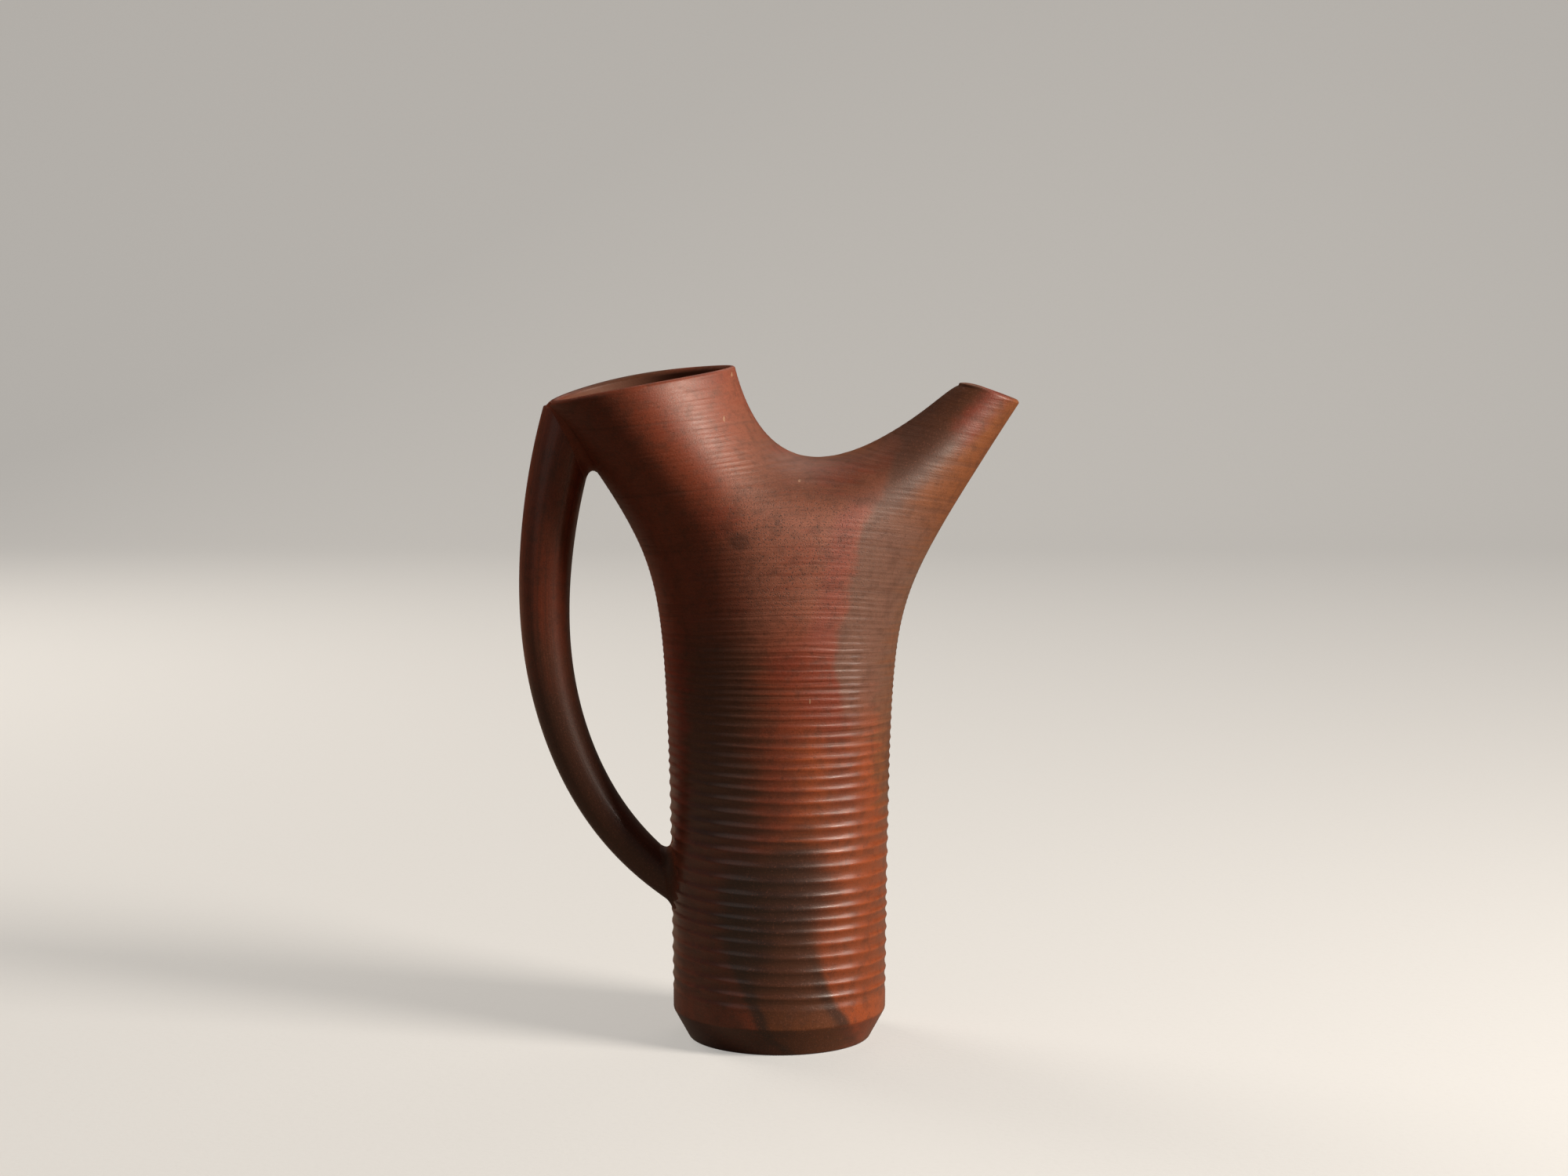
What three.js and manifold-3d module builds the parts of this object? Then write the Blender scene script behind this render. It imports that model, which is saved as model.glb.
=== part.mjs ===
// Stoneware jug: a ribbed thrown body forks into a filling neck and a pouring spout, with a pulled handle.
// Millimetres, +Z up. The origin is the centre of the foot, +X points to the spout and -X to the handle.
import * as THREE from 'three';
import { mergeVertices } from 'three/addons/utils/BufferGeometryUtils.js';
import Module from 'manifold-3d';

const wasm = await Module();
wasm.setup();

// Clay, slip and fit
const WALL = 4.5;
const FLOOR = 8;
const SLIP = 1.2;
const CLEARANCE = 0.3;

// Foot
const FOOT_RADIUS = 39.5;
const BEVEL_HEIGHT = 13;
const FOOT_BAND = 3;

// Body: a cylinder that widens a little with height, and its throwing ribs
const BODY_RADIUS = 46.4;
const BODY_GROWTH = 0.0048;
const BODY_HEIGHT = 172;
const RIB_START = 27;
const RIB_PITCH = 5.7;
const RIB_DEPTH = 0.7;
const PLAIN_BAND = 48;

// Neck side of the fork: where its wall bends out, how softly and how far it leans in degrees
const NECK_BEND = 45;
const NECK_SOFTNESS = 33.3;
const NECK_LEAN_ANGLE = 37.7;
const NECK_HEIGHT = 27;
const NECK_DEPTH = 88;
const RIM_SLOPE_ANGLE = 10.6;
const RIM_LIP = 1.5;

// Spout side of the fork
const SPOUT_BEND = 26.5;
const SPOUT_SOFTNESS = 29.6;
const SPOUT_LEAN_ANGLE = 33.4;
const SPOUT_HEIGHT = 23.8;
const SPOUT_DEPTH = 24;
const TIP_SLOPE_ANGLE = -19.6;

// Saddle between neck and spout: its place, its roundness and the dip that runs down from it
const SADDLE_X = 16.8;
const SADDLE_DRIFT_RATIO = 0.41;
const SADDLE_RISE = 87.2;
const SADDLE_RADIUS = 35;
const SADDLE_THICKNESS = 6.5;
const DIP_WIDTH = 45;
const DIP_FADE = 22;
const SHOULDER_SWELL = 3;
const COLLAR = 4;

// Handle
const HANDLE_FOOT_HEIGHT = 70.6;
const HANDLE_TOP_DROP = 10.8;
const HANDLE_ROOT = 10.2;
const HANDLE_UPPER_BOW = 62;
const HANDLE_UPPER_LEAN_ANGLE = 18.4;
const HANDLE_LOWER_BOW = 87;
const HANDLE_LOWER_LEAN_ANGLE = 53.7;
const HANDLE_TOP_THICKNESS = 27.4;
const HANDLE_MIDDLE_THICKNESS = 20.8;
const HANDLE_FOOT_THICKNESS = 17.2;
const HANDLE_TOP_DEPTH = 29;
const HANDLE_FOOT_DEPTH = 22;
const WAD_LENGTH = 9;
const WAD_FILLET = 4;
const BED_MARGIN = 1.5;

// Counts of facets
const NECK_STEPS = 11;
const SPOUT_STEPS = 9;
const OUTLINE_SAMPLES = 64;
const FORK_ROWS = 9;
const THROAT_ROWS = 3;
const COLLAR_ROWS = 4;
const HANDLE_ROWS = 26;
const HANDLE_SIDES = 18;
const BED_ROWS = 13;
const WAD_ROWS = 6;
const LATHE_SIDES = 40;
const EDGE_HALVINGS = 50;
const SAME_POINT = 1e-4;

// Heights and lines that follow from the dimensions
const BASE_TOP = BEVEL_HEIGHT + FOOT_BAND;
const BODY_BOTTOM = BASE_TOP + SLIP;
const FORK_BOTTOM = BODY_HEIGHT + SLIP;
const SADDLE_HEIGHT = BODY_HEIGHT + SADDLE_RISE;
const FORK_TOP = SADDLE_HEIGHT + COLLAR;
const COLLAR_BOTTOM = FORK_TOP + SLIP;
const slopeOf = (degrees) => Math.tan(THREE.MathUtils.degToRad(degrees));

const neckSide = {
  sign: -1,
  bend: BODY_HEIGHT + NECK_BEND,
  softness: NECK_SOFTNESS,
  slope: slopeOf(NECK_LEAN_ANGLE),
  top: COLLAR_BOTTOM + NECK_HEIGHT,
  steps: NECK_STEPS,
};
const spoutSide = {
  sign: 1,
  bend: BODY_HEIGHT + SPOUT_BEND,
  softness: SPOUT_SOFTNESS,
  slope: slopeOf(SPOUT_LEAN_ANGLE),
  top: COLLAR_BOTTOM + SPOUT_HEIGHT,
  steps: SPOUT_STEPS,
};

// Distance of a side's outer wall from the axis: straight below, leaning above, with a soft bend between
function flare(z, side) {
  const rise = z - side.bend;
  return 0.5 * side.slope * (Math.hypot(rise, side.softness) + rise);
}

function straightRadius(z) {
  return BODY_RADIUS + BODY_GROWTH * z;
}

function outline(z, side) {
  return straightRadius(z) + flare(z, side);
}

// Length along the wall for one millimetre of height, which turns a wall's thickness into a level distance
function wallStretch(z, side) {
  const rise = z - side.bend;
  const slope = BODY_GROWTH + 0.5 * side.slope * (rise / Math.hypot(rise, side.softness) + 1);
  return Math.hypot(1, slope);
}

// Line between the two sides, drifting to the spout above the saddle and settling to upright below it
function saddleLine(z) {
  const rise = z - SADDLE_HEIGHT;
  const drift = rise > 0 ? rise : DIP_FADE * Math.expm1(rise / DIP_FADE);
  return SADDLE_X + SADDLE_DRIFT_RATIO * drift;
}

function saddleHeight(inset) {
  return SADDLE_HEIGHT - inset * SADDLE_THICKNESS / WALL;
}

// How full a level section is at x, from 0 at its ends and at the saddle to about 1 in its middle
function fullness(x, z, inset) {
  const left = inset * wallStretch(z, neckSide) - outline(z, neckSide);
  const right = outline(z, spoutSide) - inset * wallStretch(z, spoutSide);
  const across = 4 * (x - left) * (right - x) / (right - left) ** 2;
  const saddle = saddleHeight(inset);
  const fromSaddle = (x - saddleLine(z)) ** 2 + 2 * SADDLE_RADIUS * (saddle - z);
  const dip = DIP_WIDTH ** 2 * Math.exp((z - saddle) / DIP_FADE);
  return across * fromSaddle / (fromSaddle + dip);
}

// The rim and the spout's lip are level planes turned about Y: height is their height on the axis
const LEVEL = 0;
const plane = (height, slope) => ({ height, slope });
const planeHeight = (cut, x) => cut.height + cut.slope * x;

// Middle of the neck's or the spout's throat at a height
function throatMiddle(z, side) {
  const reach = Math.sqrt(2 * SADDLE_RADIUS * Math.max(0, z - SADDLE_HEIGHT));
  return (saddleLine(z) + side.sign * (reach + outline(z, side))) / 2;
}

function topPlane(side, slope) {
  return plane(side.top - slope * throatMiddle(side.top, side), slope);
}

const rim = topPlane(neckSide, slopeOf(RIM_SLOPE_ANGLE));
const tip = topPlane(spoutSide, slopeOf(TIP_SLOPE_ANGLE));

// Half depth that fills the wanted size at the top of the neck and of the spout
function topScale(side, depth) {
  return 0.5 * depth / Math.sqrt(fullness(throatMiddle(side.top, side), side.top, 0));
}
const neckScale = topScale(neckSide, NECK_DEPTH);
const spoutScale = topScale(spoutSide, SPOUT_DEPTH);

// Square of a section's half depth at x: the outer wall is at inset 0 and the bore's at inset WALL
function depthSquared(x, z, inset) {
  const meanFlare = (flare(z, neckSide) + flare(z, spoutSide)) / 2;
  const round = straightRadius(z) + SHOULDER_SWELL * Math.tanh(meanFlare / SHOULDER_SWELL);
  const left = -outline(z, neckSide);
  const right = outline(z, spoutSide);
  const toSpout = THREE.MathUtils.smoothstep(x, left, right);
  const topDepth = THREE.MathUtils.lerp(neckScale, spoutScale, toSpout);
  const toTop = Math.max(0, (z - BODY_HEIGHT) / (neckSide.top - BODY_HEIGHT)) ** 2;
  const depth = THREE.MathUtils.lerp(round, topDepth, toTop) - inset;
  return fullness(x, z, inset) * depth ** 2;
}

// Where the section in a cut plane ends between a place inside it and one outside it
function findEdge(inside, outside, cut, inset) {
  let near = inside;
  let far = outside;
  for (let step = 0; step < EDGE_HALVINGS; step += 1) {
    const x = (near + far) / 2;
    const isInside = depthSquared(x, planeHeight(cut, x), inset) > 0;
    near = isInside ? x : near;
    far = isInside ? far : x;
  }
  return near;
}

// One side of the section in a cut plane, counterclockwise from the saddle line out, round and back
function sideLoop(cut, inset, side) {
  const level = planeHeight(cut, throatMiddle(cut.height, side));
  const middle = throatMiddle(level, side);
  const valley = saddleLine(level);
  const isOpen = level < saddleHeight(inset);
  const inner = isOpen ? valley : findEdge(middle, valley, cut, inset);
  const outer = findEdge(middle, middle + 2 * side.sign * outline(level, side), cut, inset);
  const samples = [];
  for (let sample = 0; sample <= OUTLINE_SAMPLES; sample += 1) {
    const x = inner + (outer - inner) * (1 - Math.cos(Math.PI * sample / OUTLINE_SAMPLES)) / 2;
    const isEnd = sample === OUTLINE_SAMPLES || (sample === 0 && !isOpen);
    const squared = isEnd ? 0 : Math.max(0, depthSquared(x, planeHeight(cut, x), inset));
    samples.push(new THREE.Vector2(x, Math.sqrt(squared)));
  }
  const half = new THREE.SplineCurve(samples).getSpacedPoints(side.steps);
  const place = (point, y) => new THREE.Vector3(point.x, y, planeHeight(cut, point.x));
  const there = half.map((point) => place(point, -side.sign * point.y));
  const back = half.slice(0, -1).reverse().map((point) => place(point, side.sign * point.y));
  return [...there, ...back];
}

// Whole level section below the saddle
function wholeLoop(z, inset) {
  const cut = plane(z, LEVEL);
  return [...sideLoop(cut, inset, neckSide), ...sideLoop(cut, inset, spoutSide).slice(1)];
}

// Triangles of a closed body, gathered corner by corner
class Skin {
  constructor() {
    this.corners = [];
  }

  triangle(a, b, c) {
    const shortest = Math.min(a.distanceTo(b), b.distanceTo(c), c.distanceTo(a));
    if (shortest > SAME_POINT) {
      this.corners.push(a, b, c);
    }
  }

  quad(a, b, c, d) {
    this.triangle(a, b, c);
    this.triangle(a, c, d);
  }

  // Wall between two loops of as many points, facing out when the second loop is above the first
  band(lower, upper) {
    for (let i = 0; i + 1 < lower.length; i += 1) {
      this.quad(lower[i], lower[i + 1], upper[i + 1], upper[i]);
    }
  }

  bands(loops) {
    loops.slice(1).forEach((loop, i) => this.band(loops[i], loop));
  }

  // Flat end over a closed loop that is seen counterclockwise
  cap(loop) {
    const middle = loop.reduce((sum, point) => sum.add(point), new THREE.Vector3()).divideScalar(loop.length);
    for (let i = 0; i + 1 < loop.length; i += 1) {
      this.triangle(middle, loop[i], loop[i + 1]);
    }
  }

  geometry() {
    const loose = new THREE.BufferGeometry().setFromPoints(this.corners);
    return mergeVertices(loose, SAME_POINT);
  }
}

const downwards = (loops) => [...loops].reverse();

// Open tube with a wall: loops of its outside and of its bore, both from the bottom up
function tube(outside, bore) {
  const skin = new Skin();
  skin.bands(outside);
  skin.bands(downwards(bore));
  skin.band(bore[0], outside[0]);
  skin.band(outside.at(-1), bore.at(-1));
  return skin.geometry();
}

// Filled body from loops, bottom up
function filled(loops) {
  const skin = new Skin();
  const closed = loops.map((loop) => [...loop, loop[0]]);
  skin.bands(closed);
  skin.cap([...closed[0]].reverse());
  skin.cap(closed.at(-1));
  return skin.geometry();
}

// Solids for cuts
function solid(geometry) {
  const bare = geometry.clone();
  bare.deleteAttribute('normal');
  bare.deleteAttribute('uv');
  const merged = mergeVertices(bare, SAME_POINT);
  const vertProperties = new Float32Array(merged.getAttribute('position').array);
  const triVerts = new Uint32Array(merged.getIndex().array);
  return new wasm.Manifold(new wasm.Mesh({ numProp: 3, vertProperties, triVerts }));
}

function geometryOf(body) {
  const mesh = body.getMesh();
  const geometry = new THREE.BufferGeometry();
  geometry.setAttribute('position', new THREE.BufferAttribute(mesh.vertProperties, mesh.numProp));
  geometry.setIndex(new THREE.BufferAttribute(mesh.triVerts, 1));
  return geometry;
}

// Base: turned floor with a bevelled foot and a low upstand that carries the body
function baseGeometry() {
  const radius = (z) => (outline(z, neckSide) + outline(z, spoutSide)) / 2;
  const profile = [
    [0, 0],
    [FOOT_RADIUS, 0],
    [radius(BEVEL_HEIGHT), BEVEL_HEIGHT],
    [radius(BASE_TOP), BASE_TOP],
    [radius(BASE_TOP) - WALL, BASE_TOP],
    [radius(FLOOR) - 2 * WALL, FLOOR],
    [0, FLOOR],
  ];
  const points = profile.map(([x, z]) => new THREE.Vector2(x, z));
  return new THREE.LatheGeometry(points, LATHE_SIDES).rotateX(Math.PI / 2);
}

// Body: ribs are crests and grooves in turn, between two plain bands
function bodyGeometry() {
  const ribCount = Math.floor((BODY_HEIGHT - PLAIN_BAND - RIB_START) / RIB_PITCH);
  const ribs = Array.from({ length: 2 * ribCount + 1 }, (_, i) => ({
    z: RIB_START + i * RIB_PITCH / 2,
    inset: i % 2 === 0 ? 0 : RIB_DEPTH,
  }));
  const rows = [{ z: BODY_BOTTOM, inset: 0 }, ...ribs, { z: BODY_HEIGHT, inset: 0 }];
  const outside = rows.map((row) => wholeLoop(row.z, row.inset));
  const bore = [BODY_BOTTOM, ribs.at(-1).z, BODY_HEIGHT].map((z) => wholeLoop(z, WALL));
  return tube(outside, bore);
}

// Fork: one throat below the saddle and two above it, with a saddle patch between them
function forkWall(skin, inset, faceOut) {
  const saddle = saddleHeight(inset);
  const whole = [];
  for (let row = 0; row <= FORK_ROWS; row += 1) {
    const below = (1 - row / (FORK_ROWS + 0.5)) ** 2;
    whole.push(saddle - (saddle - FORK_BOTTOM) * below);
  }
  const split = [];
  for (let row = 1; row <= THROAT_ROWS; row += 1) {
    split.push(saddle + (FORK_TOP - saddle) * (row / THROAT_ROWS) ** 2);
  }
  const loopsOf = (side) => [...whole, ...split].map((z) => sideLoop(plane(z, LEVEL), inset, side));
  const neckLoops = loopsOf(neckSide);
  const spoutLoops = loopsOf(spoutSide);
  const order = (loops) => (faceOut ? loops : downwards(loops));
  skin.bands(order(neckLoops));
  skin.bands(order(spoutLoops));
  const last = whole.length - 1;
  const patch = [spoutLoops[last][0], spoutLoops[last + 1][0], neckLoops[last][0], neckLoops[last + 1][0]];
  skin.quad(...order(patch));
  return { neckLoops, spoutLoops };
}

function forkGeometry() {
  const skin = new Skin();
  const outside = forkWall(skin, 0, true);
  const bore = forkWall(skin, WALL, false);
  ['neckLoops', 'spoutLoops'].forEach((name) => {
    skin.band(bore[name][0], outside[name][0]);
    skin.band(outside[name].at(-1), bore[name].at(-1));
  });
  return skin.geometry();
}

// Neck and spout: tubes whose loops turn from level at the fork to the slope of the rim or of the lip
function collarLoops(side, top, inset) {
  return Array.from({ length: COLLAR_ROWS + 1 }, (_, row) => {
    const share = row / COLLAR_ROWS;
    const height = THREE.MathUtils.lerp(COLLAR_BOTTOM, top.height, share);
    return sideLoop(plane(height, top.slope * share), inset, side);
  });
}

function collarGeometry(side, top) {
  return tube(collarLoops(side, top, 0), collarLoops(side, top, WALL));
}

// Slip rings: as wide as the wall that they join
function ringGeometry(loop, bottom, top) {
  const loops = (inset) => [bottom, top].map((z) => loop(z, inset));
  return tube(loops(0), loops(WALL));
}

function collarRingGeometry(side) {
  return ringGeometry((z, inset) => sideLoop(plane(z, LEVEL), inset, side), FORK_TOP, COLLAR_BOTTOM);
}

// Handle: an oval strap along a curve from inside the neck's wall to the body's wall
const handleTopHeight = neckSide.top - HANDLE_TOP_DROP;
const handleTop = new THREE.Vector3(HANDLE_ROOT - outline(handleTopHeight, neckSide), 0, handleTopHeight);
const handleFoot = new THREE.Vector3(-outline(HANDLE_FOOT_HEIGHT, neckSide), 0, HANDLE_FOOT_HEIGHT);

function leaningOut(degrees, upOrDown) {
  const angle = THREE.MathUtils.degToRad(degrees);
  return new THREE.Vector3(-Math.sin(angle), 0, upOrDown * Math.cos(angle));
}

const handlePath = new THREE.CubicBezierCurve3(
  handleTop,
  handleTop.clone().addScaledVector(leaningOut(HANDLE_UPPER_LEAN_ANGLE, -1), HANDLE_UPPER_BOW),
  handleFoot.clone().addScaledVector(leaningOut(HANDLE_LOWER_LEAN_ANGLE, 1), HANDLE_LOWER_BOW),
  handleFoot,
);
const handleLength = handlePath.getLength();
const wadStart = handleLength - WAD_LENGTH;
const wadEnd = handleLength + HANDLE_FOOT_THICKNESS;

function strapThickness(share) {
  const pull = 2 * HANDLE_MIDDLE_THICKNESS - (HANDLE_TOP_THICKNESS + HANDLE_FOOT_THICKNESS) / 2;
  const ends = (1 - share) ** 2 * HANDLE_TOP_THICKNESS + share ** 2 * HANDLE_FOOT_THICKNESS;
  return ends + 2 * share * (1 - share) * pull;
}

// Oval section at a distance along the handle, made larger by grow; past the foot the strap runs straight on
function strapLoop(distance, grow) {
  const share = Math.min(distance / handleLength, 1);
  const along = handlePath.getTangentAt(share);
  const centre = handlePath.getPointAt(share).addScaledVector(along, distance - share * handleLength);
  const across = new THREE.Vector3(0, 1, 0);
  const outward = across.clone().cross(along);
  const thick = strapThickness(share) / 2 + grow;
  const deep = THREE.MathUtils.lerp(HANDLE_TOP_DEPTH, HANDLE_FOOT_DEPTH, share) / 2 + grow;
  return Array.from({ length: HANDLE_SIDES }, (_, i) => {
    const angle = 2 * Math.PI * i / HANDLE_SIDES;
    const point = centre.clone().addScaledVector(outward, thick * Math.cos(angle));
    return point.addScaledVector(across, deep * Math.sin(angle));
  });
}

function strap(from, to, rows, growAt) {
  const loops = Array.from({ length: rows + 1 }, (_, row) => {
    const share = row / rows;
    return strapLoop(THREE.MathUtils.lerp(from, to, share), growAt(share));
  });
  return solid(filled(loops));
}

// Neck side of the jug as a filled body, made larger by grow, from the body's top to the rim
function filledNeckSide(grow) {
  const levels = Array.from({ length: FORK_ROWS + 1 }, (_, row) => {
    return plane(THREE.MathUtils.lerp(BODY_HEIGHT, COLLAR_BOTTOM, row / (FORK_ROWS + 1)), LEVEL);
  });
  const below = levels.map((cut) => sideLoop(cut, -grow, neckSide));
  return solid(filled([...below, ...collarLoops(neckSide, rim, -grow)]));
}

function filledBody(grow) {
  const loops = Array.from({ length: FORK_ROWS + 1 }, (_, row) => {
    return wholeLoop(THREE.MathUtils.lerp(BASE_TOP, BODY_HEIGHT, row / FORK_ROWS), -grow);
  });
  return solid(filled(loops));
}

// Everything above the rim's plane, lowered by the lip that the handle stays under
function aboveRim() {
  const size = 4 * BODY_HEIGHT;
  const block = new THREE.BoxGeometry(size, size, size).translate(0, 0, size / 2);
  block.rotateY(-Math.atan(rim.slope)).translate(0, 0, rim.height - RIM_LIP);
  return solid(block);
}

function handleGeometry() {
  const whole = strap(0, wadStart - CLEARANCE, HANDLE_ROWS, () => 0);
  const seat = filledNeckSide(SLIP + 2 * CLEARANCE);
  return geometryOf(whole.subtract(seat).subtract(aboveRim()));
}

// Slip bed between the handle's top and the neck's wall
function handleBedGeometry() {
  const wide = strap(0, wadStart / 2, BED_ROWS, () => BED_MARGIN);
  const layer = wide.intersect(filledNeckSide(SLIP + CLEARANCE)).subtract(filledNeckSide(CLEARANCE));
  return geometryOf(layer.subtract(aboveRim()));
}

// Slip wad that spreads from the handle's foot into a fillet on the body
function handleWadGeometry() {
  const spread = (share) => WAD_FILLET * Math.min(1, share * (wadEnd - wadStart) / WAD_LENGTH) ** 2;
  const wad = strap(wadStart, wadEnd, WAD_ROWS, spread);
  return geometryOf(wad.subtract(filledBody(CLEARANCE)));
}

// Fired clay and the paler slip in its seams
function clay(color, roughness) {
  return new THREE.MeshStandardMaterial({ color, roughness, metalness: 0 });
}

const jug = new THREE.Group();

function addPiece(name, geometry, color, roughness) {
  const mesh = new THREE.Mesh(geometry, clay(color, roughness));
  mesh.name = name;
  jug.add(mesh);
}

addPiece('base', baseGeometry(), 0x6b4130, 0.62);
addPiece('base_luting', ringGeometry(wholeLoop, BASE_TOP, BODY_BOTTOM), 0x8a6a52, 0.7);
addPiece('body', bodyGeometry(), 0x9a4f32, 0.52);
addPiece('body_luting', ringGeometry(wholeLoop, BODY_HEIGHT, FORK_BOTTOM), 0x8a6a52, 0.7);
addPiece('fork', forkGeometry(), 0xa05f45, 0.55);
addPiece('neck_luting', collarRingGeometry(neckSide), 0x8a6a52, 0.7);
addPiece('neck', collarGeometry(neckSide, rim), 0x98553c, 0.55);
addPiece('spout_luting', collarRingGeometry(spoutSide), 0x8a6a52, 0.7);
addPiece('spout', collarGeometry(spoutSide, tip), 0x6e5140, 0.5);
addPiece('handle', handleGeometry(), 0x6a4433, 0.48);
addPiece('handle_upper_luting', handleBedGeometry(), 0x8a6a52, 0.7);
addPiece('handle_lower_luting', handleWadGeometry(), 0x8a6a52, 0.7);

export default jug;
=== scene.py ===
import math
from collections import namedtuple
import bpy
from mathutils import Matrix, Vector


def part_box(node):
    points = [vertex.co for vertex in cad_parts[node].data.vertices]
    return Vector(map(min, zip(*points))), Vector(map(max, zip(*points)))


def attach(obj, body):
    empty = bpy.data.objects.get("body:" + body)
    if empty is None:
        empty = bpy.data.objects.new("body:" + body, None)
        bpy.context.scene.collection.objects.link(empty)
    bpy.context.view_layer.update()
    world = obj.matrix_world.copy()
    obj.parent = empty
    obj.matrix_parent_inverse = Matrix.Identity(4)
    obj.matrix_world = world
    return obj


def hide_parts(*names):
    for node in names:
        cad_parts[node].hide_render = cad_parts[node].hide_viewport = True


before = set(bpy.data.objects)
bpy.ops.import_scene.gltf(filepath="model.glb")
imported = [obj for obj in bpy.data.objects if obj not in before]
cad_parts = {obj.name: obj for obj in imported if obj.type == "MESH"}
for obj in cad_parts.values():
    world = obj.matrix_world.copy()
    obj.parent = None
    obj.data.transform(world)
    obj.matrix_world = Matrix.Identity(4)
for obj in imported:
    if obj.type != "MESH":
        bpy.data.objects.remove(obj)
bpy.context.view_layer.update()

from types import SimpleNamespace

import bpy
import numpy as np
from mathutils import Vector

bl_info = {
    "name": "Stoneware jug",
    "version": (1, 0, 0),
    "blender": (4, 5, 0),
    "location": "3D View > Sidebar > Jug",
    "description": "Throws the jug's vessel, pulls its handle and sets its stage",
    "category": "Add Mesh",
}

ROOT = "root"
MM = 0.001

# Heights of the seams between the thrown members, from the solids
BASE_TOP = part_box("base")[1].z
BODY_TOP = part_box("body")[1].z
FORK_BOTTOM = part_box("fork")[0].z
FORK_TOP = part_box("fork")[1].z

# Counts of facets and of search steps
NECK_STEPS = 84
SPOUT_STEPS = 60
OUTLINE_SAMPLES = 420
EDGE_HALVINGS = 48
WALL_STEPS = 12
TUBE_ROWS = 61
BORE_ROWS = 39
LIP_ROWS = 8
CORNER_ROWS = 6
BEVEL_ROWS = 14
HANDLE_SIDES = 60
HANDLE_ROWS = 230
HANDLE_SAMPLES = 2001
PIERCE_TRIALS = 400
PIERCE_HALVINGS = 30
RIM_STEPS = 400
FILLET_ROWS = 9

# Distances between loops of the skin, and the finest ones beside the saddle
TRUNK_STEP = 0.62 * MM
TUBE_STEP = 0.6 * MM
TRUNK_BORE_STEP = 3.0 * MM
TUBE_BORE_STEP = 1.2 * MM
OUTER_FINE = 0.02 * MM
BORE_FINE = 0.05 * MM
SADDLE_REACH = 4.0 * MM

# Rounding between the bore and the floor, as shares of the bore's width and of the curve's height
FLOOR_CURVE = 5.0 * MM
FLOOR_SHARES = (0.985, 0.94, 0.86, 0.7, 0.45, 0.2)
FLOOR_DROPS = (0.62, 0.32, 0.1, 0.0, 0.0, 0.0)

# Handle: power that rounds its oval, how deep its ends sit in the wall, and its place under the lip
STRAP_ROUNDNESS = 0.94
STRAP_OVERLAP = 1.0 * MM
RIM_MARGIN = 2.0 * MM
RIM_STEP = 0.1 * MM


def length(name, description, size):
    """A size that the panel shows, given here in millimetres."""
    return bpy.props.FloatProperty(
        name=name, description=description, default=size * MM, min=0.0, precision=5, unit="LENGTH")


def angle(name, description, degrees):
    """A slope that the panel shows in degrees."""
    return bpy.props.FloatProperty(
        name=name, description=description, default=math.radians(degrees), unit="ROTATION")


def ratio(name, description, default):
    """A plain number that the panel shows."""
    return bpy.props.FloatProperty(name=name, description=description, default=default, precision=4)


def colour(name, description, default):
    """A fired clay colour, in linear light."""
    return bpy.props.FloatVectorProperty(
        name=name, description=description, default=default,
        size=3, min=0.0, max=1.0, subtype="COLOR")


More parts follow.
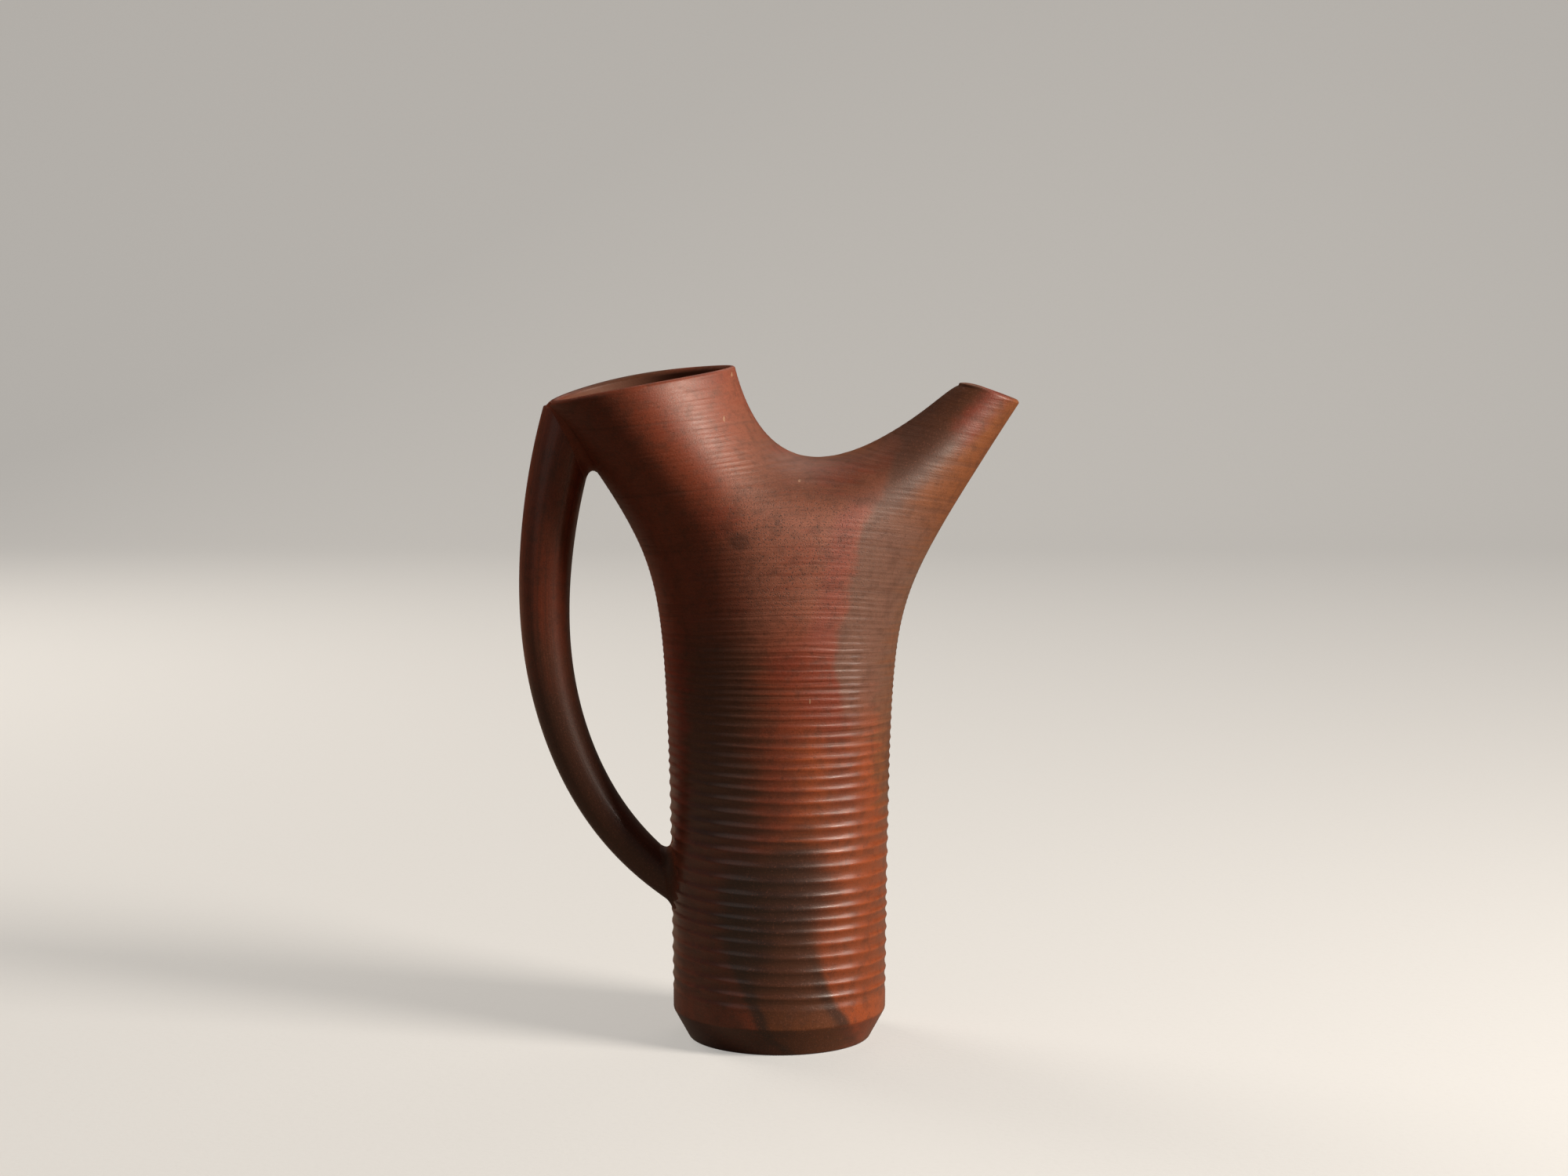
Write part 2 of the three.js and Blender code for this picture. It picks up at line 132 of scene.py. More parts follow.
class JugSizes(bpy.types.PropertyGroup):
    """Sizes of the jug."""

    wall: length("Wall", "Thickness of the thrown wall", 4.5)
    lip: length("Lip", "Thickness of the wall at the rim", 3.6)
    tip_lip: length("Tip lip", "Thickness of the wall at the spout's lip", 2.6)
    floor: length("Floor", "Thickness of the floor", 8.0)
    foot_radius: length("Foot radius", "Radius of the flat foot", 39.5)
    bevel_height: length("Bevel height", "Height of the turned bevel above the foot", 13.0)
    edge_round: length("Edge round", "Softness of the bevel's edges", 0.9)
    body_radius: length("Body radius", "Radius of the body at the foot", 46.4)
    body_growth: ratio("Body growth", "How much the body widens with height", 0.0048)
    rib_start: length("Rib start", "Height of the lowest throwing rib", 27.0)
    rib_pitch: length("Rib pitch", "Distance between throwing ribs low on the body", 5.75)
    rib_depth: length("Rib depth", "Depth of the grooves between the ribs", 0.66)
    hand_wobble: length("Hand wobble", "Unevenness left by the hand", 0.35)
    neck_bend: length("Neck bend", "Height where the neck side bends out", 217.0)
    neck_softness: length("Neck softness", "How softly the neck side bends", 33.3)
    neck_lean: angle("Neck lean", "Lean of the neck's outer wall", 37.7)
    neck_top: length("Neck top", "Height of the rim's middle", 291.4)
    neck_depth: length("Neck depth", "Front to back size of the rim", 88.0)
    rim_slope: angle("Rim slope", "Tilt of the rim", 10.6)
    rim_crown: length("Rim crown", "Rise of the rim at its front and back", 2.2)
    rim_twist: length("Rim twist", "How much higher the rim's back is than its front", 1.0)
    spout_bend: length("Spout bend", "Height where the spout side bends out", 198.5)
    spout_softness: length("Spout softness", "How softly the spout side bends", 29.6)
    spout_lean: angle("Spout lean", "Lean of the spout's outer wall", 33.4)
    spout_top: length("Spout top", "Height of the spout lip's middle", 289.0)
    spout_depth: length("Spout depth", "Front to back size of the spout's lip", 24.0)
    tip_slope: angle("Tip slope", "Tilt of the spout's lip", -19.6)
    tip_droop: length("Tip droop", "How far the lip rounds down on the saddle's side", 1.6)
    saddle_x: length("Saddle place", "Place of the saddle towards the spout", 16.8)
    saddle_height: length("Saddle height", "Height of the saddle", 259.2)
    saddle_drift: ratio("Saddle drift", "Lean of the line above the saddle", 0.41)
    saddle_radius: length("Saddle radius", "Roundness of the saddle", 35.0)
    saddle_thickness: length("Saddle thickness", "Thickness of the clay at the saddle", 6.5)
    dip_width: length("Dip width", "Width of the dip below the saddle", 45.0)
    dip_fade: length("Dip fade", "Distance over which the dip fades", 22.0)
    shoulder_swell: length("Shoulder swell", "Swell of the fork front to back", 3.0)
    handle_top_drop: length("Handle top drop", "Drop of the handle's root below the rim", 10.8)
    handle_root: length("Handle root", "How far the handle's line starts inside the neck", 10.2)
    handle_foot: length("Handle foot", "Height where the handle meets the body", 70.6)
    upper_bow: length("Upper bow", "Pull of the handle's upper curve", 62.0)
    upper_lean: angle("Upper lean", "Lean of the handle where it leaves the neck", 18.4)
    lower_bow: length("Lower bow", "Pull of the handle's lower curve", 87.0)
    lower_lean: angle("Lower lean", "Lean of the handle where it meets the body", 53.7)
    top_thickness: length("Top thickness", "Thickness of the handle at its top", 27.4)
    middle_thickness: length("Middle thickness", "Thickness of the handle in its middle", 20.8)
    foot_thickness: length("Foot thickness", "Thickness of the handle at its foot", 17.2)
    top_depth: length("Top depth", "Front to back size of the handle at its top", 29.0)
    foot_depth: length("Foot depth", "Front to back size of the handle at its foot", 22.0)
    upper_fillet: length("Upper fillet", "Clay worked into the corner under the neck", 9.0)
    lower_fillet: length("Lower fillet", "Clay worked into the corner on the body", 8.5)


class JugColours(bpy.types.PropertyGroup):
    """Colours of the fired clay and of the stage."""

    red: colour("Red", "Red-brown clay", (0.215, 0.038, 0.013))
    deep_red: colour("Deep red", "Dark red flashing", (0.195, 0.027, 0.011))
    flame: colour("Flame", "Rosy red beside the flame's edge", (0.250, 0.056, 0.034))
    # Olive also stands for painted shade in the valley under the saddle
    olive: colour("Olive", "Olive brown where the fire was calm", (0.115, 0.036, 0.016))
    # Orange is set darker than the clay's own colour: painted shade that makes the lower body
    # darker than the fork
    orange: colour("Orange", "Orange flashing", (0.325, 0.060, 0.013))
    ochre: colour("Ochre", "Ochre brown", (0.125, 0.036, 0.010))
    tan: colour("Tan", "Orange brown under the spout", (0.220, 0.066, 0.019))
    # Salmon and violet are set lighter than the clay's own colour: painted light that makes the
    # fork brighter than the lower body
    salmon: colour("Salmon", "Pale pink flashing on the fork", (0.275, 0.090, 0.051))
    violet: colour("Violet", "Grey violet flashing beside the spout", (0.160, 0.077, 0.051))
    soot: colour("Soot", "Blue-black carbon lines", (0.017, 0.009, 0.007))
    # Umber also stands for painted shade: on the bevel, in the grooves, along the throwing lines,
    # under the rim on the handle's side, on the handle's inner side and in part on the spout's
    # upper flank
    umber: colour("Umber", "Dark brown of the handle and the foot", (0.058, 0.018, 0.008))
    slip: colour("Slip", "Slip in the handle's seams", (0.090, 0.045, 0.028))
    chip: colour("Chip", "Bare pale clay in small chips", (0.400, 0.220, 0.120))
    stage: colour("Stage", "Floor and backdrop", (0.620, 0.595, 0.560))


# Form of the thrown clay

Side = namedtuple("Side", "sign bend softness slope top steps")
Plane = namedtuple("Plane", "height slope")


def smooth_share(value, low, high):
    share = np.clip((value - low) / (high - low), 0.0, 1.0)
    return share * share * (3.0 - 2.0 * share)


def blend(a, b, share):
    return a + (b - a) * share


def bent(start, corner, end, t):
    """Points on a curve that leaves start towards corner and reaches end from there."""
    return (1 - t) ** 2 * start + 2 * t * (1 - t) * corner + t ** 2 * end


def unit(vectors):
    return vectors / np.linalg.norm(vectors, axis=-1, keepdims=True)


def dot(first, second):
    return np.sum(first * second, axis=1, keepdims=True)


class ThrownForm:
    """Walls of the thrown clay: sections that part into a neck and a spout above the saddle."""

    def __init__(self, sizes):
        self.s = sizes
        self.neck = Side(-1, sizes.neck_bend, sizes.neck_softness,
                         math.tan(sizes.neck_lean), sizes.neck_top, NECK_STEPS)
        self.spout = Side(1, sizes.spout_bend, sizes.spout_softness,
                          math.tan(sizes.spout_lean), sizes.spout_top, SPOUT_STEPS)
        self.rim = self.top_plane(self.neck, math.tan(sizes.rim_slope))
        self.tip = self.top_plane(self.spout, math.tan(sizes.tip_slope))
        self.neck_scale = self.top_scale(self.neck, sizes.neck_depth)
        self.spout_scale = self.top_scale(self.spout, sizes.spout_depth)

    def flare(self, z, side):
        """How far a side has bent out from the straight wall."""
        rise = z - side.bend
        return 0.5 * side.slope * (np.hypot(rise, side.softness) + rise)

    def straight_radius(self, z):
        return self.s.body_radius + self.s.body_growth * z

    def outline(self, z, side):
        """Distance of a side's outer wall from the axis."""
        return self.straight_radius(z) + self.flare(z, side)

    def wall_stretch(self, z, side):
        """Level thickness of a leaning wall as a share of its true thickness."""
        rise = z - side.bend
        slope = self.s.body_growth + 0.5 * side.slope * (rise / np.hypot(rise, side.softness) + 1.0)
        return np.hypot(1.0, slope)

    def saddle_line(self, z):
        """Line between the two sides, upright low down and drifting to the spout higher up."""
        rise = z - self.s.saddle_height
        settled = self.s.dip_fade * np.expm1(np.minimum(rise, 0.0) / self.s.dip_fade)
        return self.s.saddle_x + self.s.saddle_drift * np.where(rise > 0.0, rise, settled)

    def saddle_at(self, inset):
        """Height of the saddle, outside or in the bore."""
        return self.s.saddle_height - inset * self.s.saddle_thickness / self.s.wall

    def fullness(self, x, z, inset):
        """Share of the squared depth at x: none at a section's ends, and dipped at the saddle."""
        left = inset * self.wall_stretch(z, self.neck) - self.outline(z, self.neck)
        right = self.outline(z, self.spout) - inset * self.wall_stretch(z, self.spout)
        across = 4.0 * (x - left) * (right - x) / (right - left) ** 2
        saddle = self.saddle_at(inset)
        from_saddle = (x - self.saddle_line(z)) ** 2 + 2.0 * self.s.saddle_radius * (saddle - z)
        dip = self.s.dip_width ** 2 * np.exp((z - saddle) / self.s.dip_fade)
        return across * from_saddle / (from_saddle + dip)

    def throat_middle(self, z, side):
        reach = np.sqrt(2.0 * self.s.saddle_radius * np.maximum(0.0, z - self.s.saddle_height))
        return 0.5 * (self.saddle_line(z) + side.sign * (reach + self.outline(z, side)))

    def top_plane(self, side, slope):
        return Plane(side.top - slope * float(self.throat_middle(side.top, side)), slope)

    def top_scale(self, side, depth):
        fullness = self.fullness(self.throat_middle(side.top, side), side.top, 0.0)
        return 0.5 * depth / math.sqrt(float(fullness))

    def depth_squared(self, x, z, inset=0.0):
        """Square of a section's half depth at x."""
        swell = self.s.shoulder_swell
        mean_flare = 0.5 * (self.flare(z, self.neck) + self.flare(z, self.spout))
        round_depth = self.straight_radius(z) + swell * np.tanh(mean_flare / swell)
        to_spout = smooth_share(x, -self.outline(z, self.neck), self.outline(z, self.spout))
        top_depth = blend(self.neck_scale, self.spout_scale, to_spout)
        to_top = np.maximum(0.0, (z - BODY_TOP) / (self.neck.top - BODY_TOP)) ** 2
        depth = blend(round_depth, top_depth, to_top) - inset
        return self.fullness(x, z, inset) * depth ** 2

    def beyond(self, points):
        """Above zero outside the outer wall, and below zero inside it."""
        x, y, z = points[..., 0], points[..., 1], points[..., 2]
        squared = self.depth_squared(x, z)
        past_ends = (x < -self.outline(z, self.neck)) | (x > self.outline(z, self.spout))
        return y ** 2 - np.where(past_ends, -np.abs(squared), squared)

    def normal(self, points):
        """Direction out of the outer wall, and how steeply beyond rises along it."""
        step = 0.02 * MM
        rise = [self.beyond(points + step * axis) - self.beyond(points - step * axis)
                for axis in np.eye(3)]
        gradient = np.stack(rise, axis=-1) / (2.0 * step)
        return unit(gradient), np.linalg.norm(gradient, axis=-1)

    def onto_wall(self, points):
        """Nearest places on the outer wall."""
        for _ in range(WALL_STEPS):
            direction, steepness = self.normal(points)
            move = np.clip(self.beyond(points) / steepness, -1.0 * MM, 1.0 * MM)
            points = points - direction * move[..., None]
        return points

    def edge(self, inside, outside, heights, slopes, insets):
        """Last places from inside towards outside where a section has depth."""
        near = np.broadcast_to(inside, heights.shape).copy()
        far = np.broadcast_to(outside, heights.shape).copy()
        for _ in range(EDGE_HALVINGS):
            x = 0.5 * (near + far)
            is_inside = self.depth_squared(x, heights + slopes * x, insets) > 0.0
            near = np.where(is_inside, x, near)
            far = np.where(is_inside, far, x)
        return near

    def arcs(self, side, heights, slopes, insets):
        """One side of sections in tilted planes, out from the saddle line and back."""
        shape = np.broadcast(heights, slopes, insets).shape
        heights, slopes, insets = (np.broadcast_to(v, shape)[:, None].astype(float)
                                   for v in (heights, slopes, insets))
        level = heights + slopes * self.throat_middle(heights, side)
        middle = self.throat_middle(level, side)
        is_open = level < self.saddle_at(insets)
        valley = self.saddle_line(level)
        inner = np.where(is_open, valley, self.edge(middle, valley, heights, slopes, insets))
        past = middle + 2.0 * side.sign * self.outline(level, side)
        outer = self.edge(middle, past, heights, slopes, insets)
        spread = 0.5 * (1.0 - np.cos(np.linspace(0.0, np.pi, OUTLINE_SAMPLES)))
        x = inner + (outer - inner) * spread
        y = np.sqrt(np.maximum(self.depth_squared(x, heights + slopes * x, insets), 0.0))
        y[:, -1] = 0.0
        y[:, :1] *= is_open
        run = np.hypot(np.diff(x, axis=1), np.diff(y, axis=1)).cumsum(axis=1)
        run = np.concatenate([np.zeros((len(run), 1)), run], axis=1)
        even = np.linspace(0.0, 1.0, side.steps + 1)
        half_x = np.array([np.interp(even * r[-1], r, row) for r, row in zip(run, x)])
        half_y = np.array([np.interp(even * r[-1], r, row) for r, row in zip(run, y)])
        there = np.stack([half_x, -side.sign * half_y, heights + slopes * half_x], axis=-1)
        back = there[:, -2::-1] * np.array([1.0, -1.0, 1.0])
        return np.concatenate([there, back], axis=1)

    def whole_loops(self, heights, inset):
        """Level sections below the saddle."""
        neck = self.arcs(self.neck, heights, 0.0, inset)
        spout = self.arcs(self.spout, heights, 0.0, inset)
        return np.concatenate([neck[:, :-1], spout[:, :-1]], axis=1)

    def split_loops(self, side, heights, slopes, insets):
        """Sections of the neck or of the spout above the saddle."""
        return self.arcs(side, heights, slopes, insets)[:, :-1]


# Throwing spiral

# Tables of (height in millimetres, value): droop of the rings at the sides in millimetres,
# distance between ribs as a share of the lowest, and press of the fingers
RING_DROOP = ((0.0, 0.0), (120.0, 0.0), (155.0, 2.3), (204.0, 5.9), (245.0, 10.0), (290.0, 15.4),
              (320.0, 18.0))
RIB_SPACING = ((0.0, 1.0), (108.0, 1.0), (155.0, 0.62), (200.0, 0.42), (340.0, 0.38))
FINGER_PRESS = ((0.0, 0.0), (20.0, 0.0), (24.0, 1.0), (100.0, 1.0), (125.0, 0.78), (150.0, 0.52),
                (185.0, 0.26), (235.0, 0.12), (340.0, 0.08))
CLIMB_TOP = 340.0 * MM
CLIMB_STEPS = 1701


def by_height(z, table, scale=1.0):
    """Value at a height, between the rows of a table."""
    heights, values = np.array(table).T
    return np.interp(z, heights * MM, values * scale)


def climb_of(form, points):
    """Height of each place along the throwing, whose rings droop at the sides."""
    x, z = points[:, 0], points[:, 2]
    middle = form.saddle_line(z)
    to_neck = (middle - x) / (middle + form.outline(z, form.neck))
    to_spout = (x - middle) / (form.outline(z, form.spout) - middle)
    aside = np.clip(np.where(x < middle, to_neck, to_spout), 0.0, 1.0)
    power = 2.0 - 0.9 * smooth_share(z, 204.0 * MM, 290.0 * MM)
    return z + by_height(z, RING_DROOP, MM) * aside ** power


def turn_of(form, points, climb):
    """Turns of the wheel up to each place: the spiral descends to the right across the front."""
    heights = np.linspace(0.0, CLIMB_TOP, CLIMB_STEPS)
    pitch = form.s.rib_pitch * by_height(heights, RIB_SPACING)
    turns = np.cumsum((heights[1] - heights[0]) / pitch)
    turns -= np.interp(form.s.rib_start, heights, turns)
    hand = 0.10 * np.sin(heights / (9.1 * MM)) + 0.07 * np.sin(heights / (5.3 * MM) + 1.0)
    around = np.arctan2(points[:, 1], points[:, 0]) / (2.0 * np.pi) + 0.25
    return np.interp(climb, heights, turns + hand) + around


def press_of(points, climb):
    """How hard the fingers pressed: full on the body, faint on the neck, least on the spout."""
    on_spout = smooth_share(points[:, 0], 52.0 * MM, 75.0 * MM)
    return by_height(climb, FINGER_PRESS) * (1.0 - 0.8 * on_spout)


# Node trees

def math_sign(operation, swapped=False):
    """Operator of a wire that adds a math node."""
    def apply(self, other):
        return self.graph.math(operation, *((other, self) if swapped else (self, other)))
    return apply


class Wire:
    """A value in a node tree: sums and products of it add math nodes."""

    def __init__(self, graph, socket):
        self.graph = graph
        self.socket = socket

    __add__, __radd__ = math_sign("ADD"), math_sign("ADD", True)
    __sub__, __rsub__ = math_sign("SUBTRACT"), math_sign("SUBTRACT", True)
    __mul__, __rmul__ = math_sign("MULTIPLY"), math_sign("MULTIPLY", True)
    __truediv__ = math_sign("DIVIDE")


class Graph:
    """Adds nodes to a tree and joins them."""

    def __init__(self, tree):
        self.tree = tree
        tree.nodes.clear()

    def feed(self, socket, value):
        """Joins a wire to a socket, or sets the socket to a plain value."""
        if isinstance(value, Wire):
            self.tree.links.new(value.socket, socket)
        else:
            socket.default_value = value

    def add(self, kind, feeds=(), **settings):
        """Adds a node with some settings and feeds its sockets by name or number."""
        node = self.tree.nodes.new(kind)
        for name, value in settings.items():
            setattr(node, name, value)
        for key, value in dict(feeds).items():
            self.feed(node.inputs[key], value)
        row, column = divmod(len(self.tree.nodes), 12)
        node.location = (220.0 * column, -180.0 * row)
        return node

    def put(self, kind, feeds=(), output=0, **settings):
        """Adds a node and gives back one of its outputs."""
        return Wire(self, self.add(kind, feeds, **settings).outputs[output])

    def wires(self, node):
        return {socket.name: Wire(self, socket) for socket in node.outputs}

    def group(self, tree, **feeds):
        """Places a shader group and gives back its outputs by name."""
        return self.wires(self.add("ShaderNodeGroup", feeds, node_tree=tree))

    def attribute(self, name):
        return self.put("ShaderNodeAttribute", output="Fac", attribute_name=name)

    def math(self, operation, *values):
        return self.put("ShaderNodeMath", enumerate(values), operation=operation)

    def most(self, first, *others):
        """Largest of some values."""
        for other in others:
            first = self.math("MAXIMUM", first, other)
        return first

    def scaled(self, vector, factor):
        feeds = {0: vector, "Scale": factor}
        return self.put("ShaderNodeVectorMath", feeds, operation="SCALE")

    def axes(self, vector):
        return self.wires(self.add("ShaderNodeSeparateXYZ", {0: vector})).values()

    def vector(self, *parts):
        return self.put("ShaderNodeCombineXYZ", enumerate(parts))

    def smooth(self, value, low, high):
        """0 below low and 1 above high, with a soft step between; low may be the larger."""
        ends = (low, high, 0.0, 1.0) if low < high else (high, low, 1.0, 0.0)
        feeds = dict(zip(("From Min", "From Max", "To Min", "To Max"), ends), Value=value)
        return self.put("ShaderNodeMapRange", feeds, interpolation_type="SMOOTHSTEP")

    def noise(self, vector, scale, detail=2.0, roughness=0.5):
        feeds = {"Vector": vector, "Scale": scale, "Detail": detail, "Roughness": roughness}
        return self.put("ShaderNodeTexNoise", feeds)

    def curve(self, value, points, low, high):
        """Value carried along a bent line of (place, result) points, from low to high."""
        start, end = points[0][0], points[-1][0]
        feeds = {"From Min": start, "From Max": end, "Value": value}
        share = self.put("ShaderNodeMapRange", feeds)
        node = self.add("ShaderNodeFloatCurve", {"Value": share})
        line = node.mapping.curves[0].points
        spots = [((place - start) / (end - start), (result - low) / (high - low))
                 for place, result in points]
        for spot in spots[1:-1]:
            line.new(*spot)
        line[0].location, line[-1].location = spots[0], spots[-1]
        node.mapping.update()
        return low + (high - low) * Wire(self, node.outputs[0])

    def mix(self, share, a, b):
        """Colour between a and b; their sockets share names with others, so they go by number."""
        return self.put("ShaderNodeMix", {0: share, 6: a, 7: b}, output=2, data_type="RGBA")

    def ramp(self, value, stops):
        """Colour at a place from 0 to 1, eased between (place, colour) stops."""
        node = self.add("ShaderNodeValToRGB", {0: value})
        node.color_ramp.interpolation = "EASE"
        elements = node.color_ramp.elements
        for place, paint in stops[1:-1]:
            elements.new(place).color = paint
        for end in (0, -1):
            elements[end].position, elements[end].color = stops[end]
        return Wire(self, node.outputs[0])


def new_tree(name, kind, inputs, outputs):
    """Node tree with sockets by label, each with the last word of its type."""
    tree = bpy.data.node_groups.new(name, kind)
    for side, sockets in (("INPUT", inputs), ("OUTPUT", outputs)):
        for label, holds in sockets.items():
            tree.interface.new_socket(label, in_out=side, socket_type="NodeSocket" + holds)
    g = Graph(tree)
    return g, g.wires(g.add("NodeGroupInput")), g.add("NodeGroupOutput").inputs


def throwing_spiral_tree():
    """Geometry nodes that press the throwing spiral and the hand's unevenness into the clay."""
    g, given, result = new_tree(
        "throwing_spiral", "GeometryNodeTree",
        {"Clay": "Geometry", "Groove Depth": "Float", "Hand Wobble": "Float", "Finish": "Material"},
        {"Clay": "Geometry"})
    turn, press, touched = [
        g.put("GeometryNodeInputNamedAttribute", {"Name": name}, data_type="FLOAT")
        for name in ("turn", "press", "touched")]
    place = g.put("GeometryNodeInputPosition")
    across = g.math("FRACT", turn) * 2.0 - 1.0
    lap = g.math("FLOOR", turn)
    lap_noise = g.noise(g.scaled(g.vector(lap, lap, 0.5), 0.37), 5.0, 0.0)
    strength = 0.55 + 0.5 * lap_noise + 0.5 * g.noise(place, 18.0, 1.0)
    grooves = given["Groove Depth"] * press * strength * (across * across - 0.62)
    wobble = (g.noise(place, 26.0, 1.0) - 0.5) * given["Hand Wobble"]
    offset = g.scaled(g.put("GeometryNodeInputNormal"), grooves + wobble * touched)
    moved = g.put("GeometryNodeSetPosition", {"Geometry": given["Clay"], "Offset": offset})
    realized = g.put("GeometryNodeRealizeInstances", {"Geometry": moved})
    feeds = {"Geometry": realized, "Material": given["Finish"]}
    g.feed(result["Clay"], g.put("GeometryNodeSetMaterial", feeds))
    return g.tree


def set_tree_inputs(modifier, values):
    """Sets a geometry nodes modifier's inputs by their sockets' identifiers."""
    for item in modifier.node_group.interface.items_tree:
        if item.in_out == "INPUT" and item.name in values:
            modifier[item.identifier] = values[item.name]


# Clay finishes, with places in millimetres

DEGREES = 57.296
# Colours round the body, by bearing in degrees from the front towards the spout
FLAME_STOPS = (
    (-180.0, "red"), (-150.0, "olive"), (-120.0, "ochre"), (-98.0, "umber"), (-80.0, "deep_red"),
    (-60.0, "deep_red"), (-46.0, "olive"), (-24.0, "olive"), (0.0, "red"), (16.0, "orange"),
    (34.0, "red"), (54.0, "orange"), (68.0, "tan"), (86.0, "ochre"), (112.0, "red"),
    (146.0, "olive"), (180.0, "red"))
# Edges on the front, as (height, place across)
TONGUE_LEFT = (
    (-2.0, 6.0), (2.4, 1.9), (9.3, -6.6), (14.4, -9.0), (28.0, -14.4), (41.4, -20.2), (54.8, -24.7),
    (68.7, -24.6), (83.2, -18.4), (95.9, -6.5), (108.0, 6.0))
TONGUE_RIGHT = (
    (-2.0, 36.0), (4.2, 32.9), (13.9, 28.7), (25.5, 21.7), (38.2, 17.6), (52.1, 16.9), (69.4, 17.6),
    (86.6, 18.9), (98.0, 20.0), (108.0, 21.0))
VIOLET_EDGE = (
    (130.0, 32.0), (150.0, 26.0), (182.5, 22.1), (199.6, 27.2), (222.9, 32.2), (235.5, 34.9),
    (244.0, 40.0), (262.0, 46.0), (300.0, 60.0))
# Soot clouds as (across, up, half width, half height) and strength
SOOT_CLOUDS = (
    ((-15.0, 62.0, 15.0, 34.0), 0.95), ((5.0, 73.0, 23.0, 24.0), 0.8),
    ((-22.0, 100.0, 20.0, 10.0), 0.4))
# Small marks as (across, up, radius) and how narrow
SMOKE_SPOTS = ((-17.5, 226.5, 4.2), (-1.1, 234.4, 1.4))
CHIPS = (
    (-23.8, 277.7, 1.3, 3.0), (13.0, 157.4, 1.1, 2.5), (8.7, 251.2, 0.6), (-20.7, 296.0, 1.0, 2.5))

CLAY_SHADER = {
    "IOR": 1.5, "Specular IOR Level": 0.55, "Specular Tint": (1.0, 0.86, 0.76, 1.0),
    "Coat Roughness": 0.22}
VESSEL_COAT = 0.85
HANDLE_COAT = 0.5
BUMP_DISTANCE = 1.0 * MM

# Stage: shares of its colour that it sends back as light and that the camera sees lit, its glow to
# the camera, and how much of the paleness reflections see
STAGE_DIM = (0.2, 0.14, 0.095)
STAGE_LIT = 0.62
STAGE_GLOW = 0.58
STAGE_MIRRORED = 0.05


def palette(colours):
    """The colours as node sockets take them."""
    names = JugColours.__annotations__
    return SimpleNamespace(**{name: (*getattr(colours, name), 1.0) for name in names})


def shader_group(name, inputs, outputs):
    return new_tree(name, "ShaderNodeTree", inputs, outputs)


